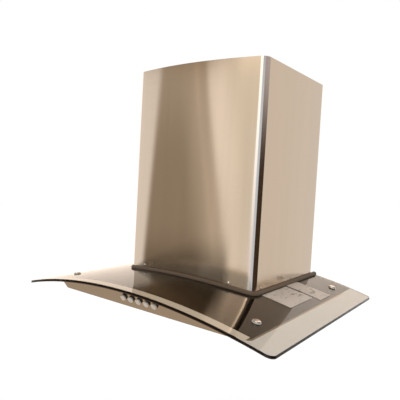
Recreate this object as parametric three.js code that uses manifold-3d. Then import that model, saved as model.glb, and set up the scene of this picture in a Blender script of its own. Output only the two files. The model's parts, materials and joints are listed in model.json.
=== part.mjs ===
// Curved glass range hood, 600 mm wide, to hang on a kitchen wall above a cooker.
//
// An arched sheet of tempered glass lies on a black top plate and is held by four capped screws.
// Below it a shallow steel casing with sloping walls carries the push buttons, two lamps and two
// hinged grease filters. Above it a bowed chimney cover stands on a dark base trim and hides the
// blower: a scroll housing with a double inlet impeller, its motor, and an outlet collar with a
// pair of back draught flaps.
//
// Millimetres. +X is to the right of someone facing the hood, +Y points into the wall, +Z is up.
// Heights in this file are counted from the underside of the casing. The whole hood is then moved
// down by HANG_HEIGHT, so that the origin is on the wall, midway between the two hanging slots.

import * as THREE from 'three';
import { mergeVertices } from 'three/addons/utils/BufferGeometryUtils.js';
import Module from 'manifold-3d';

const wasm = await Module();
wasm.setup();

// ---------------------------------------------------------------- driving dimensions

const FIT = 0.3; // gap kept between pieces that touch
const SHEET = 1.2; // steel sheet of casing, chimney and blower box
const JOIN = 1; // how far bodies that are joined run into each other
const PAST = 10; // how far a cutting body runs past what it cuts
const HANG_HEIGHT = 300; // hanging slots above the underside

// glass canopy
const GLASS_WIDTH = 600;
const GLASS_DEPTH = 486; // wall to front edge, at the middle
const GLASS_BOW = 10.5; // how far the middle of the front edge stands before its ends
const GLASS_RISE = 40.5; // how far the middle of the arch stands above its sides
const GLASS_EDGE_TOP = 10.5; // top of the glass at its side edges
const GLASS_THICK = 5;
const GLASS_FRONT_CORNER = 14;
const GLASS_REAR_CORNER = 9;

// black top plate under the glass
const PLATE_THICK = 1.2;
const PLATE_OVERHANG = 16.5; // plate edge outside the casing's underside, at the sides
const PLATE_FRONT_MARGIN = 22; // and inside the glass edge, at the front
const PLATE_REAR_GAP = 2;

// casing
const CASE_WIDTH = 470; // at the underside
const CASE_DEPTH = 425.5; // at the underside
const CASE_SLOPE = 0.5; // outward lean of front and sides, per mm of height
const CASE_CORNER = 8;
const CASE_FOLD = 1.5; // soft fold along the bottom edge
const CASE_LIP = 12; // inward lip that carries the underside panel
const PANEL_THICK = 1.2;

// chimney cover
const CHIMNEY_WIDTH = 328;
const CHIMNEY_SIDE_DEPTH = 277; // side panel, to where the bowed front starts
const CHIMNEY_BOW = 19;
const CHIMNEY_WALL_GAP = 20; // back of the cover to the wall
const CHIMNEY_TOP = 493;
const CHIMNEY_CORNER = 17;
const CHIMNEY_REAR_CORNER = 5;
const CHIMNEY_FLANGE = 16; // inward flange along each rear edge
const FAR = CHIMNEY_TOP; // reach of cutting bodies that pass everything

// base trim between chimney and glass
const TRIM_WIDTH = 5.5;
const TRIM_HEIGHT = 6.5;
const TRIM_EDGE_HEIGHT = 4;
const TRIM_CHAMFER = 1.6;

// inner base frame, that the chimney is screwed to
const FRAME_UPSTAND = 22; // above the glass
const FRAME_FOOT = 12;
const SCREW_RISE = 10.5; // chimney screws above the glass
const FRONT_SCREW_X = 112;
const SIDE_SCREW_Y = 270;
const SPARE_HOLE_Y = 135; // open hole in each side, level with the screws
const SPARE_HOLE_R = 1.8;
const SMALL_SCREW_R = 1.7;
const SMALL_HEAD_R = 2.8;
const SMALL_HEAD_HEIGHT = 1.6;
const SMALL_SCREW_LENGTH = 5;

// screws that hold the glass
const GLASS_SCREW_X = CASE_WIDTH / 2 - 5;
const GLASS_SCREW_FRONT_Y = CASE_DEPTH - 25.5;
const GLASS_SCREW_REAR_Y = 56;
const CAP_R = 7;
const CAP_HEIGHT = 3.6;
const GLASS_SCREW_R = 2.4;
const GLASS_HOLE_R = 4;
const WASHER_R = 8;
const WASHER_THICK = 1.2;
const CLINCH_R = 5; // threaded bush pressed into the top plate
const CLINCH_HEIGHT = 4;
const SCREW_END = 2; // screw past its bush

// blower box
const BOX_WIDTH = 280;
const BOX_DEPTH = 262;
const BOX_TOP = 318;
const BOX_RIM = 8; // width of top plate left under its walls
const SLOT_SPACING = 180; // between the hanging slots
const SLOT_R = 6; // round end that goes over the screw head
const SLOT_NECK = 2.9; // half width of the narrow end
const SLOT_LENGTH = 14;

// fan
const FAN_Y = 118; // impeller axis, from the wall
const FAN_Z = 165;
const IMPELLER_R = 75;
const IMPELLER_LENGTH = 98;
const BLADE_COUNT = 20;
const BLADE_DEPTH = 13;
const BLADE_THICK = 1.4;
const BLADE_SWEEP = 0.16; // forward lean of the outer edge, radians
const BLADE_EDGE = 1; // outer edge inside the rings' rim
const RING_THICK = 3; // end rings, as deep as the blades
const HUB_R = 11;
const HUB_LENGTH = 36;
const DISC_THICK = 2.4;
const SHAFT_R = 4;
const SHAFT_ENTRY = 12; // into the motor
const SHAFT_END = 4; // past the impeller's hub
const SCROLL_GAP = 6; // impeller to the scroll's tongue
const SCROLL_GROWTH = 0.1; // radius gained per degree
const SCROLL_START = 100; // angle of the tongue, degrees above the rear horizontal
const SCROLL_STEP = 10; // degrees between points of the scroll
const SCROLL_WIDTH = 112;
const SCROLL_INLET_R = 62;
const OUTLET_DEPTH = 92; // neck of the scroll, front to back
const MOTOR_R = 40; // at the band round its middle
const MOTOR_NECK_R = 35.2; // either side of the band
const MOTOR_FACE_R = 28;
const MOTOR_LENGTH = 58;
const MOTOR_NECK = 16; // face to band
const MOTOR_EDGE = 3; // slope at the rim of each face
const MOTOR_GAP = 6; // scroll side to motor face

// bracket that holds the motor to the scroll
const BAND_THICK = 2.5;
const BAND_WIDTH = 10;
const BAND_BACK = 20; // motor face to band
const ARM_COUNT = 3;
const ARM_TURN = 30; // first arm above the front horizontal, degrees
const ARM_WIDTH = 10;
const ARM_BACK = 24; // motor face to the far side of the arms
const ARM_CLEAR = 9; // arms' reach past the inlet
const PAD_LENGTH = 8;
const PAD_THICK = 2;

// outlet collar and flaps
const COLLAR_R = 75;
const COLLAR_WALL = 2;
const COLLAR_HEIGHT = 62;
const COLLAR_FLANGE = 160;
const COLLAR_FLANGE_THICK = 1.5;
const COLLAR_FLANGE_CORNER = 10;
const LEDGE_WIDTH = 3;
const LEDGE_THICK = 1.5;
const FLAP_RISE = 12; // flap axis above the collar's flange
const FLAP_THICK = 1;
const FLAP_GAP = 2; // flap rim to collar wall
const FLAP_ROOT = 4.2; // flap edge from its axis
const PIN_R = 1.5;
const KNUCKLE_R = 3.2;
const KNUCKLE_BORE = 1.9;
const KNUCKLE_LENGTH = 22;
const KNUCKLE_GAP = 2;

// grease filters
const FILTER_MIDDLE_GAP = 16; // between the two filters
const FILTER_REAR_Y = 44; // back of the filter frame, from the wall
const FILTER_WIDTH = CASE_WIDTH / 2 - FILTER_MIDDLE_GAP / 2 - 21;
const FILTER_DEPTH = CASE_DEPTH - FILTER_REAR_Y - 93.5;
const FILTER_THICK = 9;
const FILTER_BAR = 12;
const FILTER_LIP = 3;
const FILTER_PLAY = 1.5; // round the filter in its opening
const MESH_THICK = 3;
const MESH_COLUMNS = 5;
const MESH_ROWS = 5;
const MESH_STRAND = 7;
const HOOK_WIDTH = 12;
const HOOK_SPACING = 140;
const HOOK_R = 4.6;
const ROD_R = 2;
const ROD_CLEAR = 0.4;
const ROD_Y = 37;
const ROD_FOOT_WIDTH = 3;
const ROD_FOOT_DEPTH = 8;
const KNOB_R = 9;
const KNOB_HEIGHT = 7;
const KNOB_EDGE = 1; // slope round its face
const KNOB_RIM = 2.5;
const KNOB_COLLAR_R = 4.5;
const KNOB_STEM_R = 2.5;
const KNOB_STEM_LENGTH = 5; // inside the frame
const KNOB_INSET = 4.7; // stem's centre, from the filter's front
const CATCH_WIDTH = 18;
const CATCH_THICK = 0.8;
const CATCH_FOOT = 11;
const CATCH_BEND = 6; // depth of the spring's bow
const CATCH_RISE = 1; // bow above the filter
const CATCH_NOSE = 2.6; // nose under the filter
const CATCH_INSET = 40; // from the filter's middle, away from the lamp

// lamps
const LAMP_X = CASE_WIDTH / 2 - 50;
const LAMP_Y = CASE_DEPTH - 53.5;
const LAMP_R = 32;
const LAMP_TUBE_R = 27.5;
const LAMP_LENS_R = 25.5;
const LAMP_LIP_R = 23;
const LAMP_CLEAR = 3.4; // housing's top to the plate, at its outer side
const LENS_THICK = 2;
const LENS_BOSS = 0.6; // lens face below its rim
const LENS_BOSS_R = 22;

// push buttons
const BUTTON_COUNT = 5;
const BUTTON_PITCH = 20;
const BUTTON_R = 6.2;
const BUTTON_PROUD = 6; // out of the casing's face at rest
const BUTTON_TRAVEL = 3;
const BUTTON_LENGTH = 14;
const BUTTON_HEIGHT = 21.5; // above the underside
const BUTTON_RIM = 1;
const BUTTON_DISH = 1.1;
const SWITCH_DEPTH = 18;
const SWITCH_HEIGHT = 19;
const SWITCH_END = 6; // block past the outer buttons' pitch

// electrics and wall bracket
const JUNCTION_SIZE = [52, 78, 34];
const JUNCTION_PLACE = [108, 56]; // centre, from the middle and from the wall
const JUNCTION_CORNER = 4;
const LID_HEIGHT = 8;
const LID_GROOVE = 1;
const CAPACITOR_R = 17;
const CAPACITOR_LENGTH = 60;
const CAPACITOR_RIM = 2;
const CAPACITOR_STUD_R = 5;
const CAPACITOR_PLACE = [-102, 56];
const GLAND_R = 9;
const GLAND_NUT = 5;
const GLAND_NECK = 9;
const GLAND_HEIGHT = 14;
const GLAND_BORE_R = 3.5;
const BRACKET_HEIGHT = 28;
const BRACKET_Z = 450;
const BRACKET_THICK = 1.5;
const BRACKET_EAR_IN = 5; // ear past the chimney's flange
const BRACKET_EAR_OUT = 3; // ear short of the chimney's side
const BRACKET_SCREW_IN = 2; // screw inside the flange's middle
const BRACKET_HOLE_SPACING = 196;
const BRACKET_HOLE_R = 3;

// ---------------------------------------------------------------- materials

const finish = (color, roughness, metalness, more = {}) =>
  new THREE.MeshStandardMaterial({ color, roughness, metalness, ...more });

const MATERIALS = {
  brushed: finish('#c9b79c', 0.32, 1),
  galvanised: finish('#b3b5b3', 0.5, 0.9),
  blackSteel: finish('#1b1815', 0.45, 0.2),
  smokedGlass: finish('#8d8376', 0.06, 0, { transparent: true, opacity: 0.45 }),
  trim: finish('#4c453d', 0.6, 0),
  chrome: finish('#e2ddd6', 0.12, 1),
  nylon: finish('#d8d2c4', 0.6, 0),
  blackPlastic: finish('#232120', 0.55, 0),
  greyPlastic: finish('#77756f', 0.55, 0),
  aluminium: finish('#cfcdc8', 0.4, 1),
  lens: finish('#f2f0ea', 0.35, 0),
  springSteel: finish('#a9a49a', 0.35, 1),
};

// ---------------------------------------------------------------- solids

/** A closed three.js geometry as a solid that can be joined and cut. */
function solidOf(geometry) {
  const bare = geometry.clone();
  bare.deleteAttribute('normal');
  bare.deleteAttribute('uv');
  const merged = mergeVertices(bare, 1e-4);
  return new wasm.Manifold(new wasm.Mesh({
    numProp: 3,
    vertProperties: new Float32Array(merged.attributes.position.array),
    triVerts: new Uint32Array(merged.index.array),
  }));
}

/** A solid as a geometry with flat faces. */
function geometryOf(solid) {
  const mesh = solid.getMesh();
  const geometry = new THREE.BufferGeometry();
  geometry.setAttribute('position', new THREE.BufferAttribute(new Float32Array(mesh.vertProperties), 3));
  geometry.setIndex(new THREE.BufferAttribute(new Uint32Array(mesh.triVerts), 1));
  geometry.computeVertexNormals();
  return geometry;
}

const union = (solids) => solids.reduce((all, one) => all.add(one));
const without = (solid, cuts) => cuts.reduce((rest, cut) => rest.subtract(cut), solid);

function block(x0, x1, y0, y1, z0, z1) {
  const geometry = new THREE.BoxGeometry(x1 - x0, y1 - y0, z1 - z0);
  return solidOf(geometry.translate((x0 + x1) / 2, (y0 + y1) / 2, (z0 + z1) / 2));
}

/** Upright prism of a plan shape in X and Y. */
function prism(shape, z0, z1, curveSegments = 8) {
  const geometry = new THREE.ExtrudeGeometry(shape, { depth: z1 - z0, bevelEnabled: false, curveSegments });
  return solidOf(geometry.translate(0, 0, z0));
}

/** Prism along Y of a shape drawn in X and Z. */
function prismAlongY(shape, y0, y1) {
  const geometry = new THREE.ExtrudeGeometry(shape, { depth: y1 - y0, bevelEnabled: false });
  return solidOf(geometry.rotateX(Math.PI / 2).translate(0, y1, 0));
}

/** Prism along X of a shape drawn in Y and Z. */
function prismAlongX(shape, x0, x1, curveSegments = 8) {
  const geometry = new THREE.ExtrudeGeometry(shape, { depth: x1 - x0, bevelEnabled: false, curveSegments });
  geometry.rotateX(Math.PI / 2).rotateZ(Math.PI / 2);
  return solidOf(geometry.translate(x0, 0, 0));
}

/** Turned solid about Z from [radius, height] pairs that start and end on the axis. */
function turned(profile, segments = 24) {
  const points = profile.map(([r, z]) => new THREE.Vector2(r, z));
  return solidOf(new THREE.LatheGeometry(points, segments).rotateX(Math.PI / 2));
}

const disc = (r, z0, z1, segments = 24) => turned([[0, z0], [r, z0], [r, z1], [0, z1]], segments);

const ring = (inner, outer, z0, z1, segments = 24) =>
  disc(outer, z0, z1, segments).subtract(disc(inner, z0 - 1, z1 + 1, segments));

/** A rectangle, with the corners rounded where a radius is given. */
function rectangle(x0, x1, y0, y1, r = 0) {
  const shape = new THREE.Shape();
  if (r === 0) {
    shape.moveTo(x0, y0).lineTo(x1, y0).lineTo(x1, y1).lineTo(x0, y1);
    return shape;
  }
  shape.moveTo(x0 + r, y0);
  shape.absarc(x1 - r, y0 + r, r, -Math.PI / 2, 0, false);
  shape.absarc(x1 - r, y1 - r, r, 0, Math.PI / 2, false);
  shape.absarc(x0 + r, y1 - r, r, Math.PI / 2, Math.PI, false);
  shape.absarc(x0 + r, y0 + r, r, Math.PI, Math.PI * 1.5, false);
  return shape;
}

/** Closed body through rings of equally many points, each ring in a plane. */
function loft(rings) {
  const count = rings[0].length;
  const positions = rings.flat().flatMap((p) => [p.x, p.y, p.z]);
  const index = [];
  for (let k = 0; k + 1 < rings.length; k += 1) {
    for (let i = 0; i < count; i += 1) {
      const a = k * count + i;
      const b = k * count + ((i + 1) % count);
      index.push(a, b, b + count, a, b + count, a + count);
    }
  }
  const cap = THREE.ShapeUtils.triangulateShape(rings[0].map((p) => new THREE.Vector2(p.x, p.y)), []);
  const last = (rings.length - 1) * count;
  cap.forEach(([a, b, c]) => index.push(a, c, b, last + a, last + b, last + c));
  const geometry = new THREE.BufferGeometry();
  geometry.setAttribute('position', new THREE.Float32BufferAttribute(positions, 3));
  geometry.setIndex(index);
  return solidOf(geometry);
}

/**
 * Sheet or moulding swept along a plan path. The section is a closed list of
 * [offset outwards from the path, height as a function of x], counter-clockwise when seen
 * along the path with the outside on the right.
 */
function ribbon(path, section) {
  const n = section.length;
  const positions = [];
  path.forEach((p) => section.forEach(([offset, height]) => {
    const x = p.x + p.nx * offset;
    positions.push(x, p.y + p.ny * offset, height(x));
  }));
  const index = [];
  for (let k = 0; k + 1 < path.length; k += 1) {
    for (let i = 0; i < n; i += 1) {
      const a = k * n + i;
      const b = k * n + ((i + 1) % n);
      index.push(a, b, b + n, a, b + n, a + n);
    }
  }
  const flat = section.map(([offset, height]) => new THREE.Vector2(offset, height(path[0].x)));
  const last = (path.length - 1) * n;
  THREE.ShapeUtils.triangulateShape(flat, []).forEach(([a, b, c]) => {
    index.push(a, c, b, last + a, last + b, last + c);
  });
  const geometry = new THREE.BufferGeometry();
  geometry.setAttribute('position', new THREE.Float32BufferAttribute(positions, 3));
  geometry.setIndex(index);
  const solid = solidOf(geometry);
  if (solid.volume() > 0) return solid;
  geometry.setIndex(index.map((_, i) => index[i - (i % 3) + (2 - (i % 3))]));
  return solidOf(geometry);
}

// ---------------------------------------------------------------- the arch

const ARCH_R = (GLASS_WIDTH ** 2 / 4 + GLASS_RISE ** 2) / (2 * GLASS_RISE);
const ARCH_STEP = (BOX_WIDTH / 2 - BOX_RIM) / 3; // so that a facet ends at the side of the blower's opening
const ARCH_STEPS = 2 * Math.ceil(GLASS_WIDTH / 2 / ARCH_STEP);

/** Height of the glass's top face at a distance from the middle. */
const glassTop = (x) => GLASS_EDGE_TOP + GLASS_RISE - ARCH_R + Math.sqrt(ARCH_R ** 2 - x ** 2);
const above = (offset) => (x) => glassTop(x) + offset;
const GLASS_BOTTOM = -GLASS_THICK;
const PLATE_TOP = GLASS_BOTTOM - FIT;
const PLATE_BOTTOM = PLATE_TOP - PLATE_THICK;

/** The space between two offsets from the glass's top face; no lower offset means all below. */
function archBand(low, high) {
  const shape = new THREE.Shape();
  const xs = Array.from({ length: ARCH_STEPS + 1 }, (_, i) => (i - ARCH_STEPS / 2) * ARCH_STEP);
  xs.forEach((x, i) => (i ? shape.lineTo(x, glassTop(x) + high) : shape.moveTo(x, glassTop(x) + high)));
  [...xs].reverse().forEach((x) => shape.lineTo(x, low === null ? -FAR : glassTop(x) + low));
  return prismAlongY(shape, -GLASS_DEPTH - PAST, PAST);
}

const upperBand = (low) => archBand(low, CHIMNEY_TOP + PAST);

/** Front edge of the glass in plan: a shallow arc that stands forward at the middle. */
const frontEdge = (x, margin = 0) => -GLASS_DEPTH + margin + GLASS_BOW * ((2 * x) / GLASS_WIDTH) ** 2;

// ---------------------------------------------------------------- chimney plan

const CHIMNEY_HALF = CHIMNEY_WIDTH / 2;
const SIDE_FRONT_Y = -CHIMNEY_WALL_GAP - CHIMNEY_SIDE_DEPTH;
const BOW_R = (CHIMNEY_HALF ** 2 + CHIMNEY_BOW ** 2) / (2 * CHIMNEY_BOW);
const BOW_CENTRE_Y = SIDE_FRONT_Y - CHIMNEY_BOW + BOW_R;
const CORNER_X = CHIMNEY_HALF - CHIMNEY_CORNER;
const CORNER_Y = BOW_CENTRE_Y - Math.sqrt((BOW_R - CHIMNEY_CORNER) ** 2 - CORNER_X ** 2);
const BOW_HALF_ANGLE = Math.asin(CORNER_X / (BOW_R - CHIMNEY_CORNER));
const CORNER_STEPS = 5;
const BOW_STEPS = 10;

/** Outer line of the chimney from left rear round the front to right rear, with outward normals. */
function chimneyPath(rearY, flanged = false) {
  const right = [];
  for (let i = 0; i <= BOW_STEPS / 2; i += 1) {
    const a = (BOW_HALF_ANGLE * i) / (BOW_STEPS / 2);
    right.push(onArc(0, BOW_CENTRE_Y, BOW_R, a));
  }
  for (let i = 1; i <= CORNER_STEPS; i += 1) {
    const a = BOW_HALF_ANGLE + ((Math.PI / 2 - BOW_HALF_ANGLE) * i) / CORNER_STEPS;
    right.push(onArc(CORNER_X, CORNER_Y, CHIMNEY_CORNER, a));
  }
  if (flanged) {
    const r = CHIMNEY_REAR_CORNER;
    for (let i = 0; i <= 4; i += 1) {
      right.push(onArc(CHIMNEY_HALF - r, rearY - r, r, Math.PI / 2 + (Math.PI / 8) * i));
    }
    right.push({ x: CHIMNEY_HALF - CHIMNEY_FLANGE, y: rearY, nx: 0, ny: 1 });
  } else {
    right.push({ x: CHIMNEY_HALF, y: rearY, nx: 1, ny: 0 });
  }
  const left = right.slice(1).reverse().map((p) => ({ x: -p.x, y: p.y, nx: -p.nx, ny: p.ny }));
  return [...left, ...right];
}

/** Point of an arc, its angle counted from straight forward (-Y) towards +X. */
function onArc(cx, cy, r, angle) {
  const nx = Math.sin(angle);
  const ny = -Math.cos(angle);
  return { x: cx + r * nx, y: cy + r * ny, nx, ny };
}

/** Plan shape inside a path moved outwards by an offset, and carried on to the wall side. */
function planInside(path, offset, rearY) {
  const shape = new THREE.Shape();
  const points = path.map((p) => [p.x + p.nx * offset, p.y + p.ny * offset]);
  shape.moveTo(points[0][0], rearY);
  points.forEach(([x, y]) => shape.lineTo(x, y));
  shape.lineTo(points[points.length - 1][0], rearY);
  return shape;
}

// ---------------------------------------------------------------- places on the arch

/** A turned solid stood on the arch at x and y, its axis square to the glass. */
function onGlass(solid, x, y) {
  const lean = (Math.asin(x / ARCH_R) * 180) / Math.PI;
  return solid.rotate([0, lean, 0]).translate([x, y, glassTop(x)]);
}

const GLASS_SCREWS = [
  ['front_left', -GLASS_SCREW_X, -GLASS_SCREW_FRONT_Y],
  ['front_right', GLASS_SCREW_X, -GLASS_SCREW_FRONT_Y],
  ['rear_left', -GLASS_SCREW_X, -GLASS_SCREW_REAR_Y],
  ['rear_right', GLASS_SCREW_X, -GLASS_SCREW_REAR_Y],
];

/** Four shallow screws that hold the chimney to its base frame: two in front, one each side. */
const CHIMNEY_SCREWS = [['left', -1], ['right', 1]].flatMap(([name, side]) => {
  const front = onArc(0, BOW_CENTRE_Y, BOW_R, Math.asin(FRONT_SCREW_X / BOW_R));
  return [
    { name: `front_${name}`, x: side * front.x, y: front.y, nx: side * front.nx, ny: front.ny },
    { name: `side_${name}`, x: side * CHIMNEY_HALF, y: -SIDE_SCREW_Y, nx: side, ny: 0 },
  ];
});

/** A turned solid whose +Z axis is laid along a plan normal, at a height. */
function alongNormal(solid, { x, y, nx, ny }, z) {
  const turn = (Math.atan2(ny, nx) * 180) / Math.PI;
  return solid.rotate([0, 90, 0]).rotate([0, 0, turn]).translate([x, y, z]);
}

// ---------------------------------------------------------------- canopy

function glassCanopy() {
  const half = GLASS_WIDTH / 2;
  const outline = new THREE.Shape();
  const steps = 10;
  const reach = half - GLASS_FRONT_CORNER;
  const cornerY = frontEdge(reach) + GLASS_FRONT_CORNER;
  outline.moveTo(-reach, frontEdge(reach));
  for (let i = 1; i <= steps; i += 1) {
    const x = -reach + (2 * reach * i) / steps;
    outline.lineTo(x, frontEdge(x));
  }
  outline.absarc(reach, cornerY, GLASS_FRONT_CORNER, -Math.PI / 2, 0, false);
  const rear = GLASS_REAR_CORNER;
  outline.absarc(half - rear, -rear, rear, 0, Math.PI / 2, false);
  outline.absarc(-half + rear, -rear, rear, Math.PI / 2, Math.PI, false);
  outline.absarc(-reach, cornerY, GLASS_FRONT_CORNER, Math.PI, Math.PI * 1.5, false);
  const notch = prism(planInside(chimneyPath(0), -SHEET, PAST), -FAR, FAR);
  const holes = GLASS_SCREWS.map(([, x, y]) => onGlass(disc(GLASS_HOLE_R, -PAST, PAST, 8), x, y));
  return without(archBand(GLASS_BOTTOM, 0).intersect(prism(outline, -FAR, FAR, 6)), [notch, ...holes]);
}

/** Arched sheet, open to the rear where the blower's air comes up through it. */
function topPlate() {
  const half = CASE_WIDTH / 2 + PLATE_OVERHANG;
  const outline = new THREE.Shape();
  const steps = 8;
  outline.moveTo(-half, -PLATE_REAR_GAP);
  for (let i = 0; i <= steps; i += 1) {
    const x = -half + (2 * half * i) / steps;
    outline.lineTo(x, frontEdge(x, PLATE_FRONT_MARGIN));
  }
  outline.lineTo(half, -PLATE_REAR_GAP);
  const boxHalf = BOX_WIDTH / 2;
  const opening = block(-boxHalf + BOX_RIM, boxHalf - BOX_RIM, -BOX_DEPTH + BOX_RIM, PAST, -FAR, FAR);
  const sheet = archBand(PLATE_BOTTOM, PLATE_TOP).intersect(prism(outline, -FAR, FAR));
  const bushLow = PLATE_BOTTOM - CLINCH_HEIGHT;
  const bush = disc(CLINCH_R, bushLow, PLATE_BOTTOM + PLATE_THICK / 2, 8);
  const hole = disc(GLASS_SCREW_R + FIT, bushLow - PAST, PAST, 8);
  const bushes = GLASS_SCREWS.map(([, x, y]) => onGlass(bush, x, y));
  const holes = GLASS_SCREWS.map(([, x, y]) => onGlass(hole, x, y));
  return without(union([sheet, ...bushes]), [opening, ...holes]);
}

/** Screw with a low domed cap, down through washer, glass and plate into its bush. */
function glassScrew() {
  const end = PLATE_BOTTOM - CLINCH_HEIGHT - SCREW_END;
  const seat = WASHER_THICK + 2 * FIT;
  return turned([
    [0, end], [GLASS_SCREW_R, end], [GLASS_SCREW_R, seat], [CAP_R, seat],
    [CAP_R, seat + CAP_HEIGHT * 0.55], [CAP_R * 0.85, seat + CAP_HEIGHT * 0.88],
    [CAP_R * 0.55, seat + CAP_HEIGHT], [0, seat + CAP_HEIGHT],
  ], 12);
}

const glassWasher = () => ring(GLASS_SCREW_R + FIT, WASHER_R, FIT, FIT + WASHER_THICK, 12);

// ---------------------------------------------------------------- casing

const CASE_TOP = PLATE_BOTTOM - FIT;
const FACE_LENGTH = Math.hypot(1, CASE_SLOPE);
const WALL_INSET = SHEET * FACE_LENGTH;

/** Outline of the casing at a height, moved in by an inset. */
function caseRing(z, inset) {
  const half = CASE_WIDTH / 2 + CASE_SLOPE * z - inset;
  const front = -CASE_DEPTH - CASE_SLOPE * z + inset;
  const r = CASE_CORNER;
  const points = [[half, -inset], [-half, -inset]];
  for (let i = 0; i <= 5; i += 1) {
    const a = Math.PI + (Math.PI / 10) * i;
    points.push([-half + r + r * Math.cos(a), front + r + r * Math.sin(a)]);
  }
  for (let i = 0; i <= 5; i += 1) {
    const a = 1.5 * Math.PI + (Math.PI / 10) * i;
    points.push([half - r + r * Math.cos(a), front + r + r * Math.sin(a)]);
  }
  return points.map(([x, y]) => new THREE.Vector3(x, y, z));
}

const FACE_LEAN = (Math.atan2(CASE_SLOPE, 1) * 180) / Math.PI;
const BUTTON_XS = Array.from({ length: BUTTON_COUNT }, (_, i) => (i - (BUTTON_COUNT - 1) / 2) * BUTTON_PITCH);

/** A solid built about +Z, laid with +Z out of the sloping front at a button's place. */
function onFace(solid, x) {
  return solid.rotate([90 + FACE_LEAN, 0, 0])
    .translate([x, -CASE_DEPTH - CASE_SLOPE * BUTTON_HEIGHT, BUTTON_HEIGHT]);
}

function hoodCasing() {
  const tall = GLASS_RISE + GLASS_EDGE_TOP + PAST;
  const outer = loft([caseRing(0, CASE_FOLD), caseRing(CASE_FOLD, 0), caseRing(tall, 0)]);
  const inner = loft([caseRing(SHEET, WALL_INSET), caseRing(tall + PAST, WALL_INSET)]);
  const way = CASE_LIP + WALL_INSET;
  const reach = CASE_WIDTH / 2 - way;
  const opening = block(-reach, reach, -CASE_DEPTH + way, -way, -PAST, PAST);
  const holes = BUTTON_XS.map((x) => onFace(disc(BUTTON_R + FIT, -PAST, PAST, 14), x));
  return without(outer, [inner, opening, ...holes]).intersect(archBand(null, CASE_TOP));
}

const PANEL_LOW = SHEET + FIT;
const PANEL_HIGH = PANEL_LOW + PANEL_THICK;
const FILTER_CENTRE_X = (FILTER_WIDTH + FILTER_MIDDLE_GAP) / 2;
const FILTER_FRONT_Y = -FILTER_REAR_Y - FILTER_DEPTH;
const OPENING_REAR_Y = -ROD_Y + HOOK_R + FILTER_PLAY;

function undersidePanel() {
  const inset = WALL_INSET + FIT;
  const half = CASE_WIDTH / 2 - inset;
  const outline = rectangle(-half, half, -CASE_DEPTH + inset, -inset, CASE_CORNER);
  const plate = prism(outline, PANEL_LOW, PANEL_HIGH);
  const cuts = [-1, 1].flatMap((side) => {
    const x = side * FILTER_CENTRE_X;
    const reach = FILTER_WIDTH / 2 + FILTER_PLAY;
    return [
      block(x - reach, x + reach, FILTER_FRONT_Y - FILTER_PLAY, OPENING_REAR_Y, -PAST, PAST),
      disc(LAMP_TUBE_R + FIT, -PAST, PAST).translate([side * LAMP_X, -LAMP_Y, 0]),
    ];
  });
  return without(plate, cuts);
}

// ---------------------------------------------------------------- chimney

const BRACKET_FACE_Y = -CHIMNEY_WALL_GAP + FIT;
const BRACKET_SCREW_Z = BRACKET_Z + BRACKET_HEIGHT / 2;
const BRACKET_SCREWS = [['left', -1], ['right', 1]].map(([name, side]) => ({
  name,
  x: side * (CHIMNEY_HALF - CHIMNEY_FLANGE / 2 - BRACKET_SCREW_IN),
  y: -CHIMNEY_WALL_GAP - SHEET,
  nx: 0,
  ny: -1,
}));

const smallHole = () => disc(SMALL_SCREW_R + FIT, -PAST, PAST, 6);
const chimneyScrewHoles = () =>
  CHIMNEY_SCREWS.map((spot) => alongNormal(smallHole(), spot, glassTop(spot.x) + SCREW_RISE));
const bracketScrewHoles = () =>
  BRACKET_SCREWS.map((spot) => alongNormal(smallHole(), spot, BRACKET_SCREW_Z));

function chimneyCover() {
  const wall = [[0, above(TRIM_HEIGHT + FIT)], [0, () => CHIMNEY_TOP],
    [-SHEET, () => CHIMNEY_TOP], [-SHEET, above(TRIM_HEIGHT + FIT)]];
  const cover = ribbon(chimneyPath(-CHIMNEY_WALL_GAP, true), wall);
  const spareHoles = [-1, 1].map((side) => {
    const spot = { x: side * CHIMNEY_HALF, y: -SPARE_HOLE_Y, nx: side, ny: 0 };
    return alongNormal(disc(SPARE_HOLE_R, -PAST, PAST, 8), spot, glassTop(CHIMNEY_HALF) + SCREW_RISE);
  });
  return without(cover, [...chimneyScrewHoles(), ...bracketScrewHoles(), ...spareHoles]);
}

function baseTrim() {
  return ribbon(chimneyPath(-FIT), [
    [TRIM_WIDTH, above(FIT)], [TRIM_WIDTH, above(TRIM_EDGE_HEIGHT)],
    [TRIM_WIDTH - TRIM_CHAMFER, above(TRIM_HEIGHT)], [-SHEET, above(TRIM_HEIGHT)], [-SHEET, above(FIT)],
  ]);
}

function chimneyBaseFrame() {
  const outer = -SHEET - FIT;
  const inner = outer - SHEET;
  const foot = PLATE_TOP + FIT;
  const frame = ribbon(chimneyPath(-CHIMNEY_WALL_GAP - CHIMNEY_REAR_CORNER), [
    [outer, above(foot)], [outer, above(FRAME_UPSTAND)], [inner, above(FRAME_UPSTAND)],
    [inner, above(foot + SHEET)], [inner - FRAME_FOOT, above(foot + SHEET)],
    [inner - FRAME_FOOT, above(foot)],
  ]);
  return without(frame, chimneyScrewHoles());
}

/** A small pan head screw, its head's underside at FIT above zero on +Z. */
const smallScrew = () => turned([
  [0, -SMALL_SCREW_LENGTH], [SMALL_SCREW_R, -SMALL_SCREW_LENGTH], [SMALL_SCREW_R, FIT], [SMALL_HEAD_R, FIT],
  [SMALL_HEAD_R, FIT + SMALL_HEAD_HEIGHT * 0.5], [SMALL_HEAD_R * 0.6, FIT + SMALL_HEAD_HEIGHT],
  [0, FIT + SMALL_HEAD_HEIGHT],
], 8);

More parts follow.
